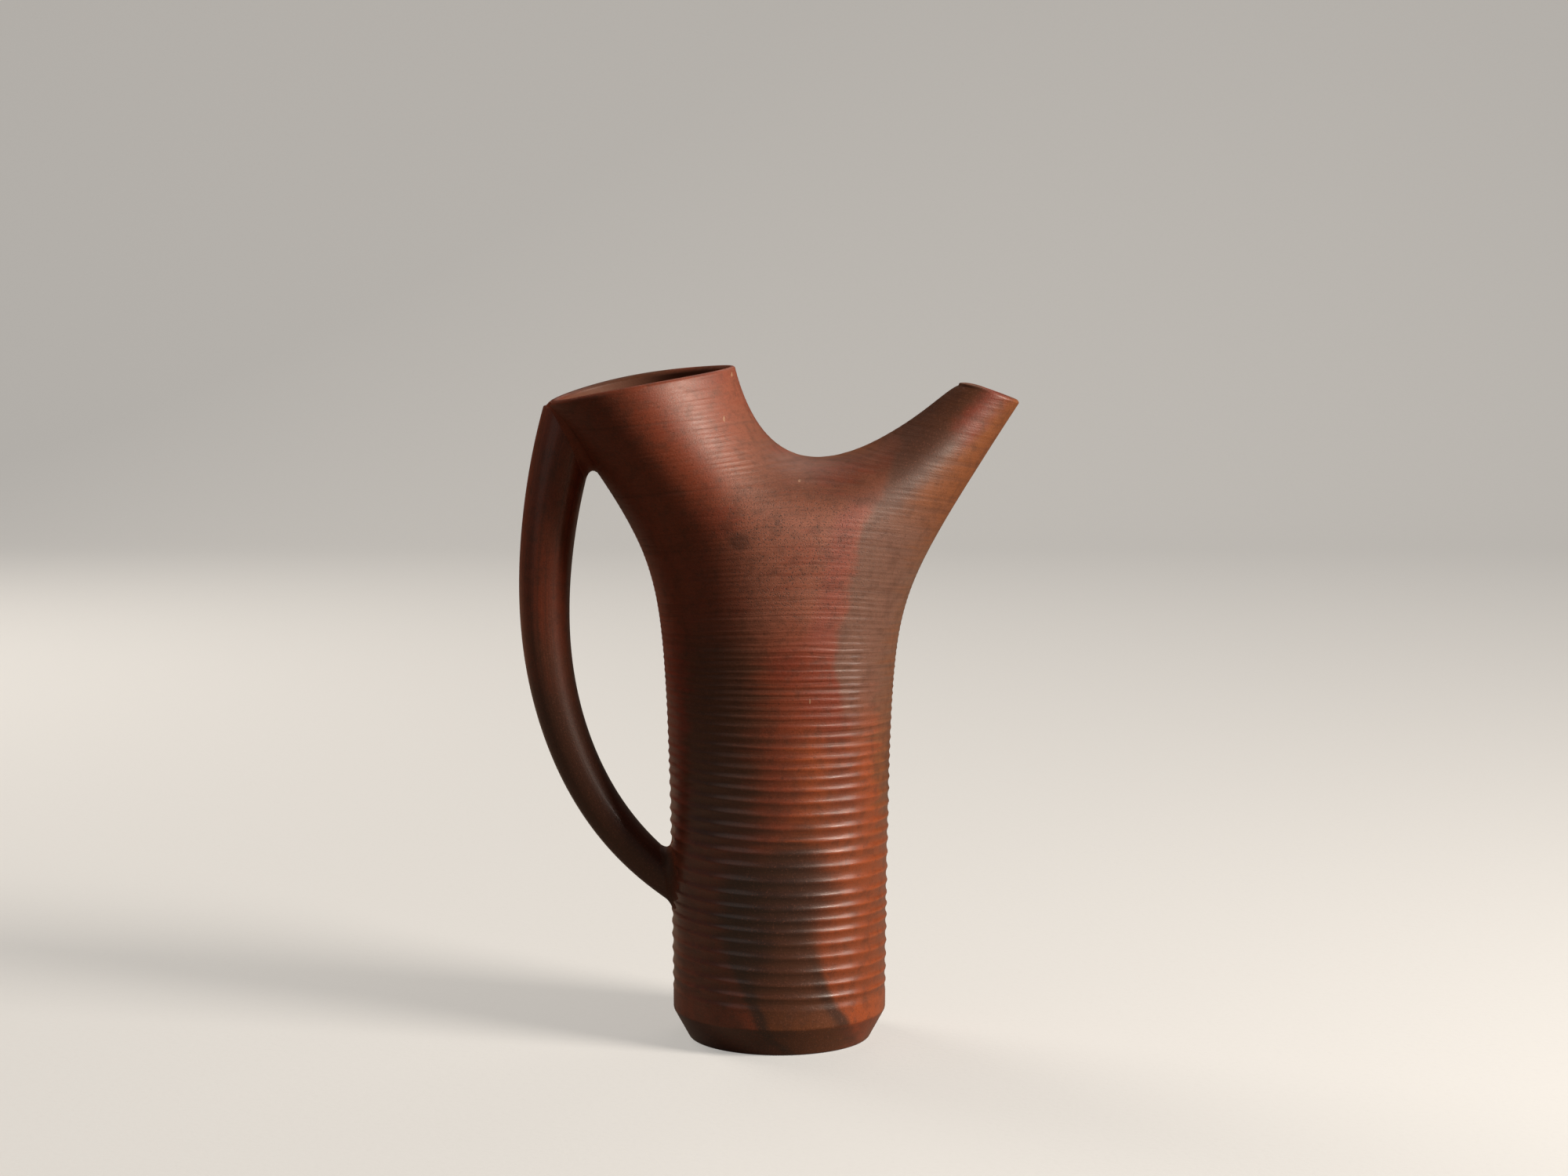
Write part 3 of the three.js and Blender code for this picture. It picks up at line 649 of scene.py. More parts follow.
def fire_flash_group(c):
    """Colours that the wood fire left on the vessel, by place and by height along the throwing;
    some marks are painted shade.
    """
    g, given, result = shader_group(
        "fire_flash", {"Place": "Vector", "Climb": "Float"}, {"Colour": "Color", "Gloss": "Float"})
    place = given["Place"]
    x, y, z = g.axes(place)
    drift = g.noise(place, 0.016, 2.0) - 0.5
    flicker = g.noise(place, 0.07, 3.0, 0.6) - 0.5
    layers = g.vector(x * 0.02, y * 0.02, given["Climb"] * 0.26)
    feather = g.noise(layers, 1.0, 3.0, 0.65) - 0.5
    front = g.smooth(y, 8.0, -8.0)
    bearing = g.math("ARCTAN2", x, 0.0 - y) * DEGREES
    warped = bearing + 30.0 * drift + 10.0 * flicker + 44.0 * feather

    def spot(across, up, radius, narrow=1.0):
        """Soft round mark on the front."""
        level, above = x - across + 3.0 * flicker, z - up
        apart = (level * level * narrow ** 2 + above * above) / radius ** 2
        return g.smooth(apart, 1.4, 0.25) * front

    def cloud(across, up, wide, high):
        """Soft oval of soot on the front, feathered along the throwing."""
        level = (x - across + 9.0 * drift + 16.0 * feather) / wide
        above = (z - up + 14.0 * drift + 10.0 * feather) / high
        return g.smooth(level * level + above * above, 1.2, 0.1) * front

    def stripe(past, width):
        """Thin line where past crosses zero."""
        return g.smooth(g.math("ABSOLUTE", past), width, 0.2 * width)

    stops = [(degrees / 360.0 + 0.5, getattr(c, paint)) for degrees, paint in FLAME_STOPS]
    shade = g.ramp(warped / 360.0 + 0.5, stops)
    # Red heart of the flame above the ribs
    heart = g.smooth(z + 50.0 * drift, 128.0, 152.0) * g.smooth(z + 40.0 * drift, 206.0, 182.0)
    heart = heart * g.smooth(warped, 0.0, 14.0) * g.smooth(warped, 46.0, 26.0)
    heart = g.most(heart * 0.85, spot(13.0, 173.0, 11.0, 0.6) * 0.7)
    shade = g.mix(heart, shade, c.deep_red)
    # Lower body: rosy on the left and orange on the right
    low = g.smooth(z + 26.0 * drift + 30.0 * feather, 116.0, 84.0)
    aside = x + 16.0 * drift + 5.0 * flicker + 20.0 * feather
    low_shade = g.mix(g.smooth(aside, -16.0, 33.0), c.red, c.orange)
    low_shade = g.mix(g.smooth(aside, -36.0, -48.0) * 0.3, low_shade, c.olive)
    shade = g.mix(low * 0.9, shade, low_shade)
    # Ochre tongue between two carbon lines, darker above its foot and leaning to the right there
    ragged = 3.5 * drift + 2.5 * flicker
    past_left = x - g.curve(z, TONGUE_LEFT, -40.0, 40.0) + ragged + 7.0 * feather
    past_right = g.curve(z, TONGUE_RIGHT, -40.0, 40.0) - x + ragged
    soft = g.smooth(z, 30.0, 70.0) * 12.0 + 4.0
    tongue = g.smooth((past_left + 2.0) / soft, 0.0, 1.0)
    tongue = tongue * g.smooth((past_right + 3.0) / soft, 0.0, 1.0) * front
    tongue = tongue * g.smooth(z + 60.0 * feather + 16.0 * drift, 118.0, 76.0)
    shade = g.mix(tongue * 0.9, shade, c.ochre)
    shade = g.mix(tongue * g.smooth(z, 2.0, 40.0) * 0.85, shade, c.umber)
    soot = g.most(*(cloud(*oval) * strength for oval, strength in SOOT_CLOUDS))
    shade = g.mix(soot, shade, c.soot)
    left_line = stripe(past_left - 1.2, 4.8) * g.smooth(z, 66.0, 36.0)
    right_line = stripe(past_right - 1.5, 4.4) * g.smooth(z, 60.0, 20.0) * 0.8
    shade = g.mix(g.most(left_line, right_line) * front * 0.8, shade, c.soot)
    # Fork: reddish towards the neck, salmon in the middle, olive painted shade in the valley under
    # the saddle
    high = g.smooth(z + 30.0 * drift + 30.0 * feather, 166.0, 202.0)
    fork_shade = g.mix(g.smooth(x + 24.0 * drift, -34.0, -6.0), c.red, c.salmon)
    # Painted shade in the valley under the saddle
    saddle = g.smooth(z + 24.0 * drift, 232.0, 250.0)
    saddle = saddle * g.smooth(g.math("ABSOLUTE", x - 16.0), 40.0, 16.0)
    fork_shade = g.mix(saddle * 0.75, fork_shade, c.olive)
    rusty = g.smooth(g.noise(place, 0.045, 1.0) + feather, 0.5, 0.72)
    fork_shade = g.mix(rusty * 0.4, fork_shade, c.deep_red)
    shade = g.mix(high * front * 0.92, shade, fork_shade)
    back_shade = g.mix(g.smooth(drift, -0.12, 0.16), c.olive, c.red)
    shade = g.mix(high * (1.0 - front) * 0.8, shade, back_shade)
    # Grey violet beside the spout, with a red flash along its edge and orange brown on the far side
    edge = g.curve(z, VIOLET_EDGE, 0.0, 60.0)
    past_edge = x - edge - 2.0 + 12.0 * drift + 7.0 * flicker + 5.0 * feather
    beside = g.smooth(z + 40.0 * drift + 24.0 * feather, 126.0, 172.0)
    ashy = g.smooth(past_edge, -1.5, 2.5) * beside
    shade = g.mix(ashy * 0.88, shade, c.violet)
    flash = stripe(past_edge + 6.0, 10.0) * front
    flash = flash * g.smooth(z, 170.0, 190.0) * g.smooth(z, 250.0, 234.0)
    shade = g.mix(flash * 0.8, shade, c.flame)
    far_side = g.smooth(warped, 60.0, 88.0) * g.smooth(warped, 122.0, 100.0) * beside
    shade = g.mix(far_side * 0.9, shade, c.tan)
    # Spout: dark upper flank, part smoke and part painted shade, orange brown underneath, a red
    # patch near the lip
    out = g.smooth(x, 34.0, 58.0) * g.smooth(z, 226.0, 246.0)
    under = g.smooth(x * 0.95 - z + 10.0 * flicker, -196.0, -184.0)
    # Smoky clay and painted shade on the upper flank
    shade = g.mix(out * (1.0 - under) * 0.8, shade, c.umber)
    shade = g.mix(out * under * 0.8, shade, c.tan)
    blush = g.smooth(x + 16.0 * flicker, 72.0, 84.0)
    blush = blush * stripe(x * 0.95 - z + 196.0 + 14.0 * flicker, 12.0)
    shade = g.mix(blush * 0.75, shade, c.deep_red)
    # Neck: darker under the rim on the handle's side, painted shade in the corner by the handle's
    # top
    corner = g.smooth(x + 20.0 * drift, -46.0, -82.0) * g.smooth(z, 206.0, 236.0)
    shade = g.mix(corner * 0.3, shade, c.umber)
    # Turned bevel: darker than the wall, painted shade where it faces down
    bevel = g.smooth(z, 13.4, 12.4)
    bevel_painted_shade = g.mix(g.smooth(aside, 26.0, 36.0), c.umber, c.red)
    shade = g.mix(bevel * (0.75 - 0.25 * tongue), shade, bevel_painted_shade)
    shade = g.mix(g.most(*(spot(*mark) for mark in SMOKE_SPOTS)) * 0.5, shade, c.soot)
    shade = g.mix(g.most(*(spot(*mark) for mark in CHIPS)) * 0.8, shade, c.chip)
    g.feed(result["Colour"], shade)
    # Gloss of the wood ash, on the lower body and low on the grey violet
    sheen = g.most(g.smooth(z + 60.0 * drift, 176.0, 92.0), ashy * g.smooth(z, 240.0, 206.0))
    g.feed(result["Gloss"], sheen + 0.3 * flicker)
    return g.tree


def clay_grain_group(c):
    """Fine stoneware grain: mottled colour, dark iron specks and an orange peel surface."""
    g, given, result = shader_group(
        "clay_grain", {"Place": "Vector", "Colour": "Color", "Specks": "Float"},
        {"Colour": "Color", "Roughness": "Float", "Height": "Float"})
    place = given["Place"]
    mottle = g.noise(place, 0.2, 4.0, 0.62)
    fine = g.noise(place, 1.3, 3.0, 0.6)
    peel = g.noise(place, 1.9, 2.0, 0.55)
    shade = g.mix(g.smooth(mottle, 0.42, 0.72) * 0.45, given["Colour"], c.umber)
    shade = g.mix(g.smooth(fine, 0.54, 0.72) * 0.4, shade, c.salmon)
    shade = g.mix(g.smooth(fine, 0.44, 0.30) * 0.6, shade, c.umber)
    specks = g.smooth(g.noise(place, 1.7, 2.0, 0.5), 0.55, 0.68) * given["Specks"]
    g.feed(result["Colour"], g.mix(specks * 0.7, shade, c.soot))
    g.feed(result["Roughness"], 0.34 + 0.12 * mottle + 0.18 * fine + 0.15 * specks)
    g.feed(result["Height"], 0.075 * peel + 0.035 * fine - 0.06 * specks)
    return g.tree


def throwing_lines_group():
    """Hair lines of the throwing, by height along the throwing, with painted shade in their
    hollows.
    """
    g, given, result = shader_group(
        "throwing_lines", {"Place": "Vector", "Climb": "Float"},
        {"Height": "Float", "Streak": "Float"})
    x, y, _ = g.axes(given["Place"])
    climb = given["Climb"]
    wander = (g.noise(given["Place"], 0.03, 1.0) - 0.5) * 3.0 + climb
    coarse = g.noise(g.vector(x * 0.009, y * 0.009, wander * 0.3), 1.0, 2.0, 0.6)
    hair = g.noise(g.vector(x * 0.02, y * 0.02, wander * 1.5), 1.0, 2.0, 0.65)
    strong = g.smooth(climb, 104.0, 160.0)
    ringed = (0.16 + 0.84 * strong) * (1.0 - 0.55 * g.smooth(climb, 192.0, 222.0))
    g.feed(result["Height"], (coarse * 0.62 + hair * 0.08) * ringed)
    # Painted shade where the lines sink
    dark = g.smooth(coarse, 0.46, 0.32) * 0.7 + g.smooth(hair, 0.46, 0.3) * 0.3
    g.feed(result["Streak"], dark * (0.3 + 0.7 * strong))
    return g.tree


def handle_flash_group(c):
    """Colours of the pulled handle: reddish above, dark grey brown below, painted shade on the
    inner side.
    """
    g, given, result = shader_group("handle_flash", {"Place": "Vector"}, {"Colour": "Color"})
    place = given["Place"]
    x, _, z = g.axes(place)
    drift = g.noise(place, 0.03, 2.0) - 0.5
    shade = g.mix(g.smooth(drift, -0.3, 0.1), c.olive, c.red)
    # Painted shade on the inner side, which faces the body
    inner = g.smooth(x - 0.25 * z + 14.0 * drift, -152.0, -126.0)
    shade = g.mix(inner * 0.6, shade, c.umber)
    lower = g.smooth(z + 0.55 * x + 16.0 * drift, 116.0, 92.0)
    g.feed(result["Colour"], g.mix(lower * 0.75, shade, c.umber))
    return g.tree


def start_material(name):
    """Fired clay: its tree, its shader, and the place on the jug in millimetres."""
    material = bpy.data.materials.new(name)
    material.use_nodes = True
    g = Graph(material.node_tree)
    shader = g.add("ShaderNodeBsdfPrincipled", CLAY_SHADER)
    g.add("ShaderNodeOutputMaterial", {"Surface": Wire(g, shader.outputs[0])})
    return g, shader, g.scaled(g.put("ShaderNodeTexCoord", output="Object"), 1.0 / MM)


def end_material(g, shader, shade, roughness, height):
    feeds = {"Strength": 1.0, "Distance": BUMP_DISTANCE, "Height": height}
    normal = g.put("ShaderNodeBump", feeds)
    for label, value in (("Base Color", shade), ("Roughness", roughness), ("Normal", normal)):
        g.feed(shader.inputs[label], value)


def vessel_material(name, groups, c, specks_high):
    """Thrown clay: fire flashing, throwing lines, grain and painted shade in hollows. Specks gather
    on the fork's front.
    """
    flash, grain, lines, _ = groups
    g, shader, place = start_material(name)
    x, y, z = g.axes(place)
    climb = g.attribute("climb") / MM
    bore = g.attribute("bore")
    flashed = g.group(flash, Place=place, Climb=climb)
    thrown = g.group(lines, Place=place, Climb=climb)
    specks = g.smooth(z, 178.0, 206.0) * g.smooth(z, 264.0, 236.0) * g.smooth(y, 10.0, -14.0)
    specks = specks * g.smooth(g.math("ABSOLUTE", x - 4.0), 48.0, 14.0) * specks_high + 0.12
    grained = g.group(grain, Place=place, Colour=flashed["Colour"], Specks=specks)
    line_shade = thrown["Streak"]
    # Painted shade along the hollows of the throwing lines
    shade = g.mix(line_shade * 0.36, grained["Colour"], c.umber)
    # Painted shade in the hollows of the ribs' grooves
    shade = g.mix(g.attribute("groove") * 0.4, shade, c.umber)
    shade = g.mix(bore * 0.8, shade, c.olive)
    gloss = flashed["Gloss"]
    g.feed(shader.inputs["Coat Weight"], VESSEL_COAT * gloss)
    roughness = grained["Roughness"] - 0.12 * gloss + 0.10 * line_shade + 0.3 * bore
    end_material(g, shader, shade, roughness, grained["Height"] + thrown["Height"])


def handle_material(groups, c):
    """Pulled clay with faint lengthwise strokes."""
    _, grain, _, pulled = groups
    g, shader, place = start_material("pulled_clay")
    shader.inputs["Coat Weight"].default_value = HANDLE_COAT
    lengthwise = g.vector(g.attribute("around") * 22.0, g.attribute("along") * 3.0, 0.0)
    strokes = g.noise(lengthwise, 1.0, 3.0, 0.6)
    shade = g.group(pulled, Place=place)["Colour"]
    shade = g.mix(g.smooth(strokes, 0.45, 0.7) * 0.5, shade, c.umber)
    grained = g.group(grain, Place=place, Colour=shade, Specks=0.25)
    roughness = grained["Roughness"] + 0.06 * strokes
    end_material(g, shader, grained["Colour"], roughness, grained["Height"] + 0.12 * strokes)


def luting_material(groups, c):
    """Slip worked from the handle into the wall: the colours of both, with a dull smear."""
    flash, grain, _, pulled = groups
    g, shader, place = start_material("worked_slip")
    spread = g.attribute("spread")
    _, _, z = g.axes(place)
    smear = g.noise(place, 0.16, 3.0, 0.6)
    wall = g.group(flash, Place=place, Climb=z)["Colour"]
    strap = g.group(pulled, Place=place)["Colour"]
    shade = g.mix(g.smooth(spread + 0.6 * smear, 0.6, 1.15), strap, wall)
    middle = spread * (1.0 - spread) * 4.0
    dull = middle * g.smooth(z, 190.0, 150.0) * g.smooth(smear, 0.3, 0.6)
    shade = g.mix(dull * 0.7, shade, c.slip)
    grained = g.group(grain, Place=place, Colour=shade, Specks=0.2)
    roughness = grained["Roughness"] + 0.10 * middle
    end_material(g, shader, grained["Colour"], roughness, grained["Height"] + 0.2 * smear)


def pale_rays(g):
    """Paleness by ray: full to the camera and through glass, faint in reflections, else none."""
    rays = g.wires(g.add("ShaderNodeLightPath"))
    reflected = rays["Is Glossy Ray"] * STAGE_MIRRORED
    return g.most(rays["Is Camera Ray"], rays["Is Transmission Ray"], reflected)


def stage_material(c):
    """Matt paper with a faint tooth: pale to the camera, dim in the light that it sends back."""
    g, shader, place = start_material("stage_paper")
    tooth = g.noise(place, 0.35, 3.0, 0.6)
    seen = pale_rays(g)
    dim = (*(share * value for share, value in zip(STAGE_DIM, c.stage)), 1.0)
    lit = (*(STAGE_LIT * value for value in c.stage[:3]), 1.0)
    shader.inputs["Specular IOR Level"].default_value = 0.2
    shader.inputs["Emission Color"].default_value = c.stage
    g.feed(shader.inputs["Emission Strength"], seen * STAGE_GLOW)
    shade = g.mix(seen * (0.9 + 0.2 * tooth), dim, lit)
    end_material(g, shader, shade, 0.85 + 0.1 * tooth, 0.1 * tooth)
    return bpy.data.materials["stage_paper"]


def clay_finishes(colours):
    """All finishes of the jug, made once."""
    if "flashed_body" not in bpy.data.materials:
        c = palette(colours)
        groups = (fire_flash_group(c), clay_grain_group(c), throwing_lines_group(),
                  handle_flash_group(c))
        specks = {"flashed_body": 1.0, "flashed_foot": 0.0, "flashed_spout": 0.6}
        for name, specks_high in specks.items():
            vessel_material(name, groups, c, specks_high)
        handle_material(groups, c)
        luting_material(groups, c)
    return bpy.data.materials


# Meshes

def make_mesh(name, points, faces, loop_normals=None, values=None):
    """Smooth mesh with values at its points; it stops where a face is not sound."""
    mesh = bpy.data.meshes.new(name)
    mesh.from_pydata(points.tolist(), [], faces)
    mesh.polygons.foreach_set("use_smooth", np.ones(len(mesh.polygons), bool))
    for label, numbers in (values or {}).items():
        layer = mesh.attributes.new(label, "FLOAT", "POINT")
        layer.data.foreach_set("value", np.asarray(numbers, np.float32))
    mesh.update()
    if loop_normals is not None:
        mesh.normals_split_custom_set(loop_normals.tolist())
    if mesh.validate():
        raise RuntimeError(f"{name} has faces that are not sound")
    return mesh


def make_piece(name, mesh, material, nodes):
    """Adds a finished piece that stands for some solids."""
    mesh.materials.append(material)
    piece = bpy.data.objects.new(name, mesh)
    bpy.context.scene.collection.objects.link(piece)
    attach(piece, ROOT)
    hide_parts(*nodes)


def numbered(loops):
    """Vertex numbers of some loops of points, in loops."""
    return np.arange(loops.shape[0] * loops.shape[1]).reshape(loops.shape[:2])


def ring_quads(first, second):
    """Quads between two closed loops of vertex numbers, in the order that the skin runs."""
    return np.stack([first, np.roll(first, -1), np.roll(second, -1), second], axis=1)


def arc_quads(first, second):
    """Quads between two open runs of vertex numbers."""
    return np.stack([first[:-1], first[1:], second[1:], second[:-1]], axis=1)


def fan_faces(centre, first, second):
    """Triangles from a middle point to pairs of neighbours on a loop."""
    return np.column_stack([np.full(len(first), centre), first, second])


def nearest(heights, height):
    return int(np.argmin(np.abs(np.array(heights) - height)))


class VesselSkin:
    """One closed skin of the vessel: foot, outside, both lips and the bore down to the floor."""

    members = ("foot", "ribbed_body", "fork", "neck", "spout")

    def __init__(self, form):
        self.form = form
        self.points = []
        self.sides = []
        self.count = 0
        self.faces = {member: [] for member in self.members}
        self.joints = {member: [] for member in self.members}
        self.build()

    def put(self, loops, side):
        """Adds loops of points and gives back their numbers; side is 1 outside, -1 in the bore."""
        numbers = self.count + numbered(loops)
        self.points.append(loops.reshape(-1, 3))
        self.sides.append(np.full(numbers.size, float(side)))
        self.count += numbers.size
        return list(numbers)

    def member_at(self, z, tube):
        if z < BASE_TOP:
            return "foot"
        if z < FORK_BOTTOM:
            return "ribbed_body"
        return "fork" if z < FORK_TOP else tube

    def close_rings(self, loops, heights, tube="fork"):
        for first, second, low, high in zip(loops, loops[1:], heights, heights[1:]):
            self.faces[self.member_at(0.5 * (low + high), tube)].append(ring_quads(first, second))

    def foot_loops(self, loop):
        """Flat foot and bevel: the wall's lowest loop drawn in along a soft-cornered profile."""
        s = self.form.s
        radius = float(self.form.straight_radius(s.bevel_height))
        corners = np.array([(0.0, 0.0), (s.foot_radius, 0.0), (radius, s.bevel_height),
                            (radius, 2.0 * s.bevel_height)])
        flat = s.foot_radius - 2.0 * s.edge_round
        profile = [(share * flat, 0.0) for share in (0.2, 0.5, 0.75, 0.95)]
        for i, corner in enumerate(corners[1:-1]):
            start, end = (corner + s.edge_round * (other - corner) / np.linalg.norm(other - corner)
                          for other in (corners[i], corners[i + 2]))
            profile.extend(bent(start, corner, end, t) for t in np.linspace(0.0, 1.0, CORNER_ROWS))
            if i == 0:
                shares = np.linspace(0.08, 0.92, BEVEL_ROWS)
                profile.extend(blend(end, corners[2], t) for t in shares)
        loops = [np.stack([loop[:, 0] * r / radius, loop[:, 1] * r / radius, np.full(len(loop), z)],
                          axis=1) for r, z in profile]
        return np.array(loops), [z for _, z in profile]

    def near_saddle(self, saddle, sign, reach, fine, step):
        """Heights away from the saddle, dense beside it, as far as reach."""
        offsets = [fine]
        while offsets[-1] < reach:
            grown = fine * (len(offsets) + 1) ** 2
            offsets.append(min(grown, offsets[-1] + step, reach))
        return saddle + sign * np.array(offsets)

    def trunk_heights(self, bottom, saddle, step, fine):
        """Heights of the loops below the saddle, with one at each seam."""
        fixed = [bottom, *(h for h in (BASE_TOP, FORK_BOTTOM) if h > bottom), saddle - SADDLE_REACH]
        heights = []
        for low, high in zip(fixed, fixed[1:]):
            count = max(1, round((high - low) / step))
            heights.extend(np.linspace(low, high, count, endpoint=False))
        return np.array([*heights, *self.near_saddle(saddle, -1, SADDLE_REACH, fine, step)[::-1]])

    def tube(self, side, top, lip, name):
        """Neck or spout from the saddle up the outside, over the lip and down the bore."""
        form, s = self.form, self.form.s
        saddle, bore_saddle = s.saddle_height, form.saddle_at(s.wall)
        outer_level = self.near_saddle(saddle, 1, FORK_TOP - saddle, OUTER_FINE, TUBE_STEP)
        bore_level = self.near_saddle(
            bore_saddle, 1, FORK_TOP - bore_saddle, BORE_FINE, TUBE_BORE_STEP)
        crown = Plane(top.height - 0.5 * lip, top.slope)

        def fan(shares, insets):
            """Sections that tilt from the level seam to the lip, shaped towards the lip."""
            heights = blend(FORK_TOP, crown.height, shares)
            loops = form.split_loops(side, heights, crown.slope * shares, insets)
            if side.sign < 0:
                aside = loops[..., 1] / (0.5 * s.neck_depth)
                rise = s.rim_crown * aside ** 2 + s.rim_twist * aside
                loops[..., 2] += shares[:, None] ** 2 * rise
            else:
                x = loops[..., 0]
                low, high = x.min(axis=1, keepdims=True), x.max(axis=1, keepdims=True)
                inner = np.clip(1.0 - (x - low) / (0.4 * (high - low)), 0.0, 1.0)
                loops[..., 2] -= s.tip_droop * shares[:, None] ** 8 * inner ** 2
            return loops

        rise = np.linspace(0.0, 1.0, TUBE_ROWS + 1)[1:]
        outer = np.concatenate([form.split_loops(side, outer_level, 0.0, 0.0), fan(rise, 0.0)])
        fall = np.linspace(1.0, 0.0, BORE_ROWS + 1)[:-1]
        bore = np.concatenate([fan(fall, blend(s.wall, lip, fall ** 2)),
                               form.split_loops(side, bore_level[::-1], 0.0, s.wall)])
        turns = np.linspace(0.0, np.pi, LIP_ROWS + 2)[1:-1, None, None]
        middle, reach = 0.5 * (outer[-1] + bore[0]), 0.5 * (outer[-1] - bore[0])
        up = np.array([0.0, 0.0, 0.5 * lip])
        edge = middle + reach * np.cos(turns) + up * np.sin(turns)
        loops = self.put(outer, 1) + self.put(edge, 0) + self.put(bore, -1)
        above = np.full(TUBE_ROWS + LIP_ROWS + BORE_ROWS, FORK_TOP + 1.0 * MM)
        heights = [*outer_level, *above, *bore_level[::-1]]
        self.close_rings(loops, heights, name)
        seam_out = len(outer_level) - 1
        seam_in = len(loops) - len(bore_level)
        self.joints["fork"].append(ring_quads(loops[seam_out], loops[seam_in]))
        self.joints[name].append(ring_quads(loops[seam_in], loops[seam_out]))
        return loops

    def part_at_saddle(self, whole, neck, spout):
        """Joins the last whole loop to neck and spout, with a small patch at the saddle."""
        half = 2 * NECK_STEPS
        closed = np.append(whole, whole[0])
        quads = [arc_quads(closed[:half + 1], np.append(neck, neck[0])),
                 arc_quads(closed[half:], np.append(spout, spout[0])),
                 np.array([[whole[half], spout[0], whole[0], neck[0]]])]
        return np.concatenate(quads)

    def build(self):
        """Adds the trunk, both tubes, the bore and the floor, and notes the faces at the seams."""
        form, s = self.form, self.form.s
        wall_bottom = s.bevel_height + s.edge_round
        wall_heights = self.trunk_heights(wall_bottom, s.saddle_height, TRUNK_STEP, OUTER_FINE)
        wall = form.whole_loops(wall_heights, 0.0)
        foot, foot_heights = self.foot_loops(wall[0])
        pole = self.put(np.zeros((1, 1, 3)), 0)[0][0]
        trunk = self.put(foot[:-1], 0) + self.put(wall, 1)
        outer_heights = [*foot_heights[:-1], *wall_heights]
        self.close_rings(trunk, outer_heights)
        neck = self.tube(form.neck, form.rim, s.lip, "neck")
        spout = self.tube(form.spout, form.tip, s.tip_lip, "spout")
        bore_heights = self.trunk_heights(
            s.floor + FLOOR_CURVE, form.saddle_at(s.wall), TRUNK_BORE_STEP, BORE_FINE)[::-1]
        bore = form.whole_loops(bore_heights, s.wall)
        drops = s.floor + FLOOR_CURVE * np.array(FLOOR_DROPS)
        floor = np.array([np.column_stack([bore[-1][:, :2] * share, np.full(len(bore[-1]), z)])
                          for share, z in zip(FLOOR_SHARES, drops)])
        bore_loops = self.put(bore, -1) + self.put(floor, -1)
        self.close_rings(bore_loops, [*bore_heights, *drops])
        well = self.put(np.array([[[0.0, 0.0, s.floor]]]), -1)[0][0]
        self.faces["fork"].append(self.part_at_saddle(trunk[-1], neck[0], spout[0]))
        down = self.part_at_saddle(bore_loops[0], neck[-1], spout[-1])
        self.faces["fork"].append(down[:, ::-1])
        self.fans = np.concatenate([fan_faces(pole, np.roll(trunk[0], -1), trunk[0]),
                                    fan_faces(well, bore_loops[-1], np.roll(bore_loops[-1], -1))])
        seams = ((BASE_TOP, "foot", "ribbed_body"), (FORK_BOTTOM, "ribbed_body", "fork"))
        for height, lower, upper in seams:
            out = trunk[nearest(outer_heights, height)]
            inside = bore_loops[nearest(bore_heights, height)]
            self.joints[lower].append(ring_quads(out, inside))
            self.joints[upper].append(ring_quads(inside, out))
        self.points = np.concatenate(self.points)
        self.sides = np.concatenate(self.sides)

    def all_faces(self):
        quads = np.concatenate([np.concatenate(self.faces[member]) for member in self.members])
        return [*quads.tolist(), *self.fans.tolist()]

    def member_mesh(self, member, points, normals, values):
        """One member cut out of the skin, closed at its seams, shaded as part of the whole."""
        skin = np.concatenate(self.faces[member])
        fans = self.fans if member == "foot" else np.zeros((0, 3), int)
        joints = np.concatenate(self.joints[member])
        used = np.unique(np.concatenate([skin.ravel(), fans.ravel(), joints.ravel()]))
        fresh = np.zeros(len(points), int)
        fresh[used] = np.arange(len(used))
        corner = points[joints]
        flat = unit(np.cross(corner[:, 2] - corner[:, 0], corner[:, 3] - corner[:, 1]))
        loop_normals = np.concatenate([normals[skin].reshape(-1, 3), normals[fans].reshape(-1, 3),
                                       np.repeat(flat, 4, axis=0)])
        faces = [*fresh[skin].tolist(), *fresh[fans].tolist(), *fresh[joints].tolist()]
        kept = {label: numbers[used] for label, numbers in values.items()}
        return make_mesh(member, points[used], faces, loop_normals, kept)


# Handle

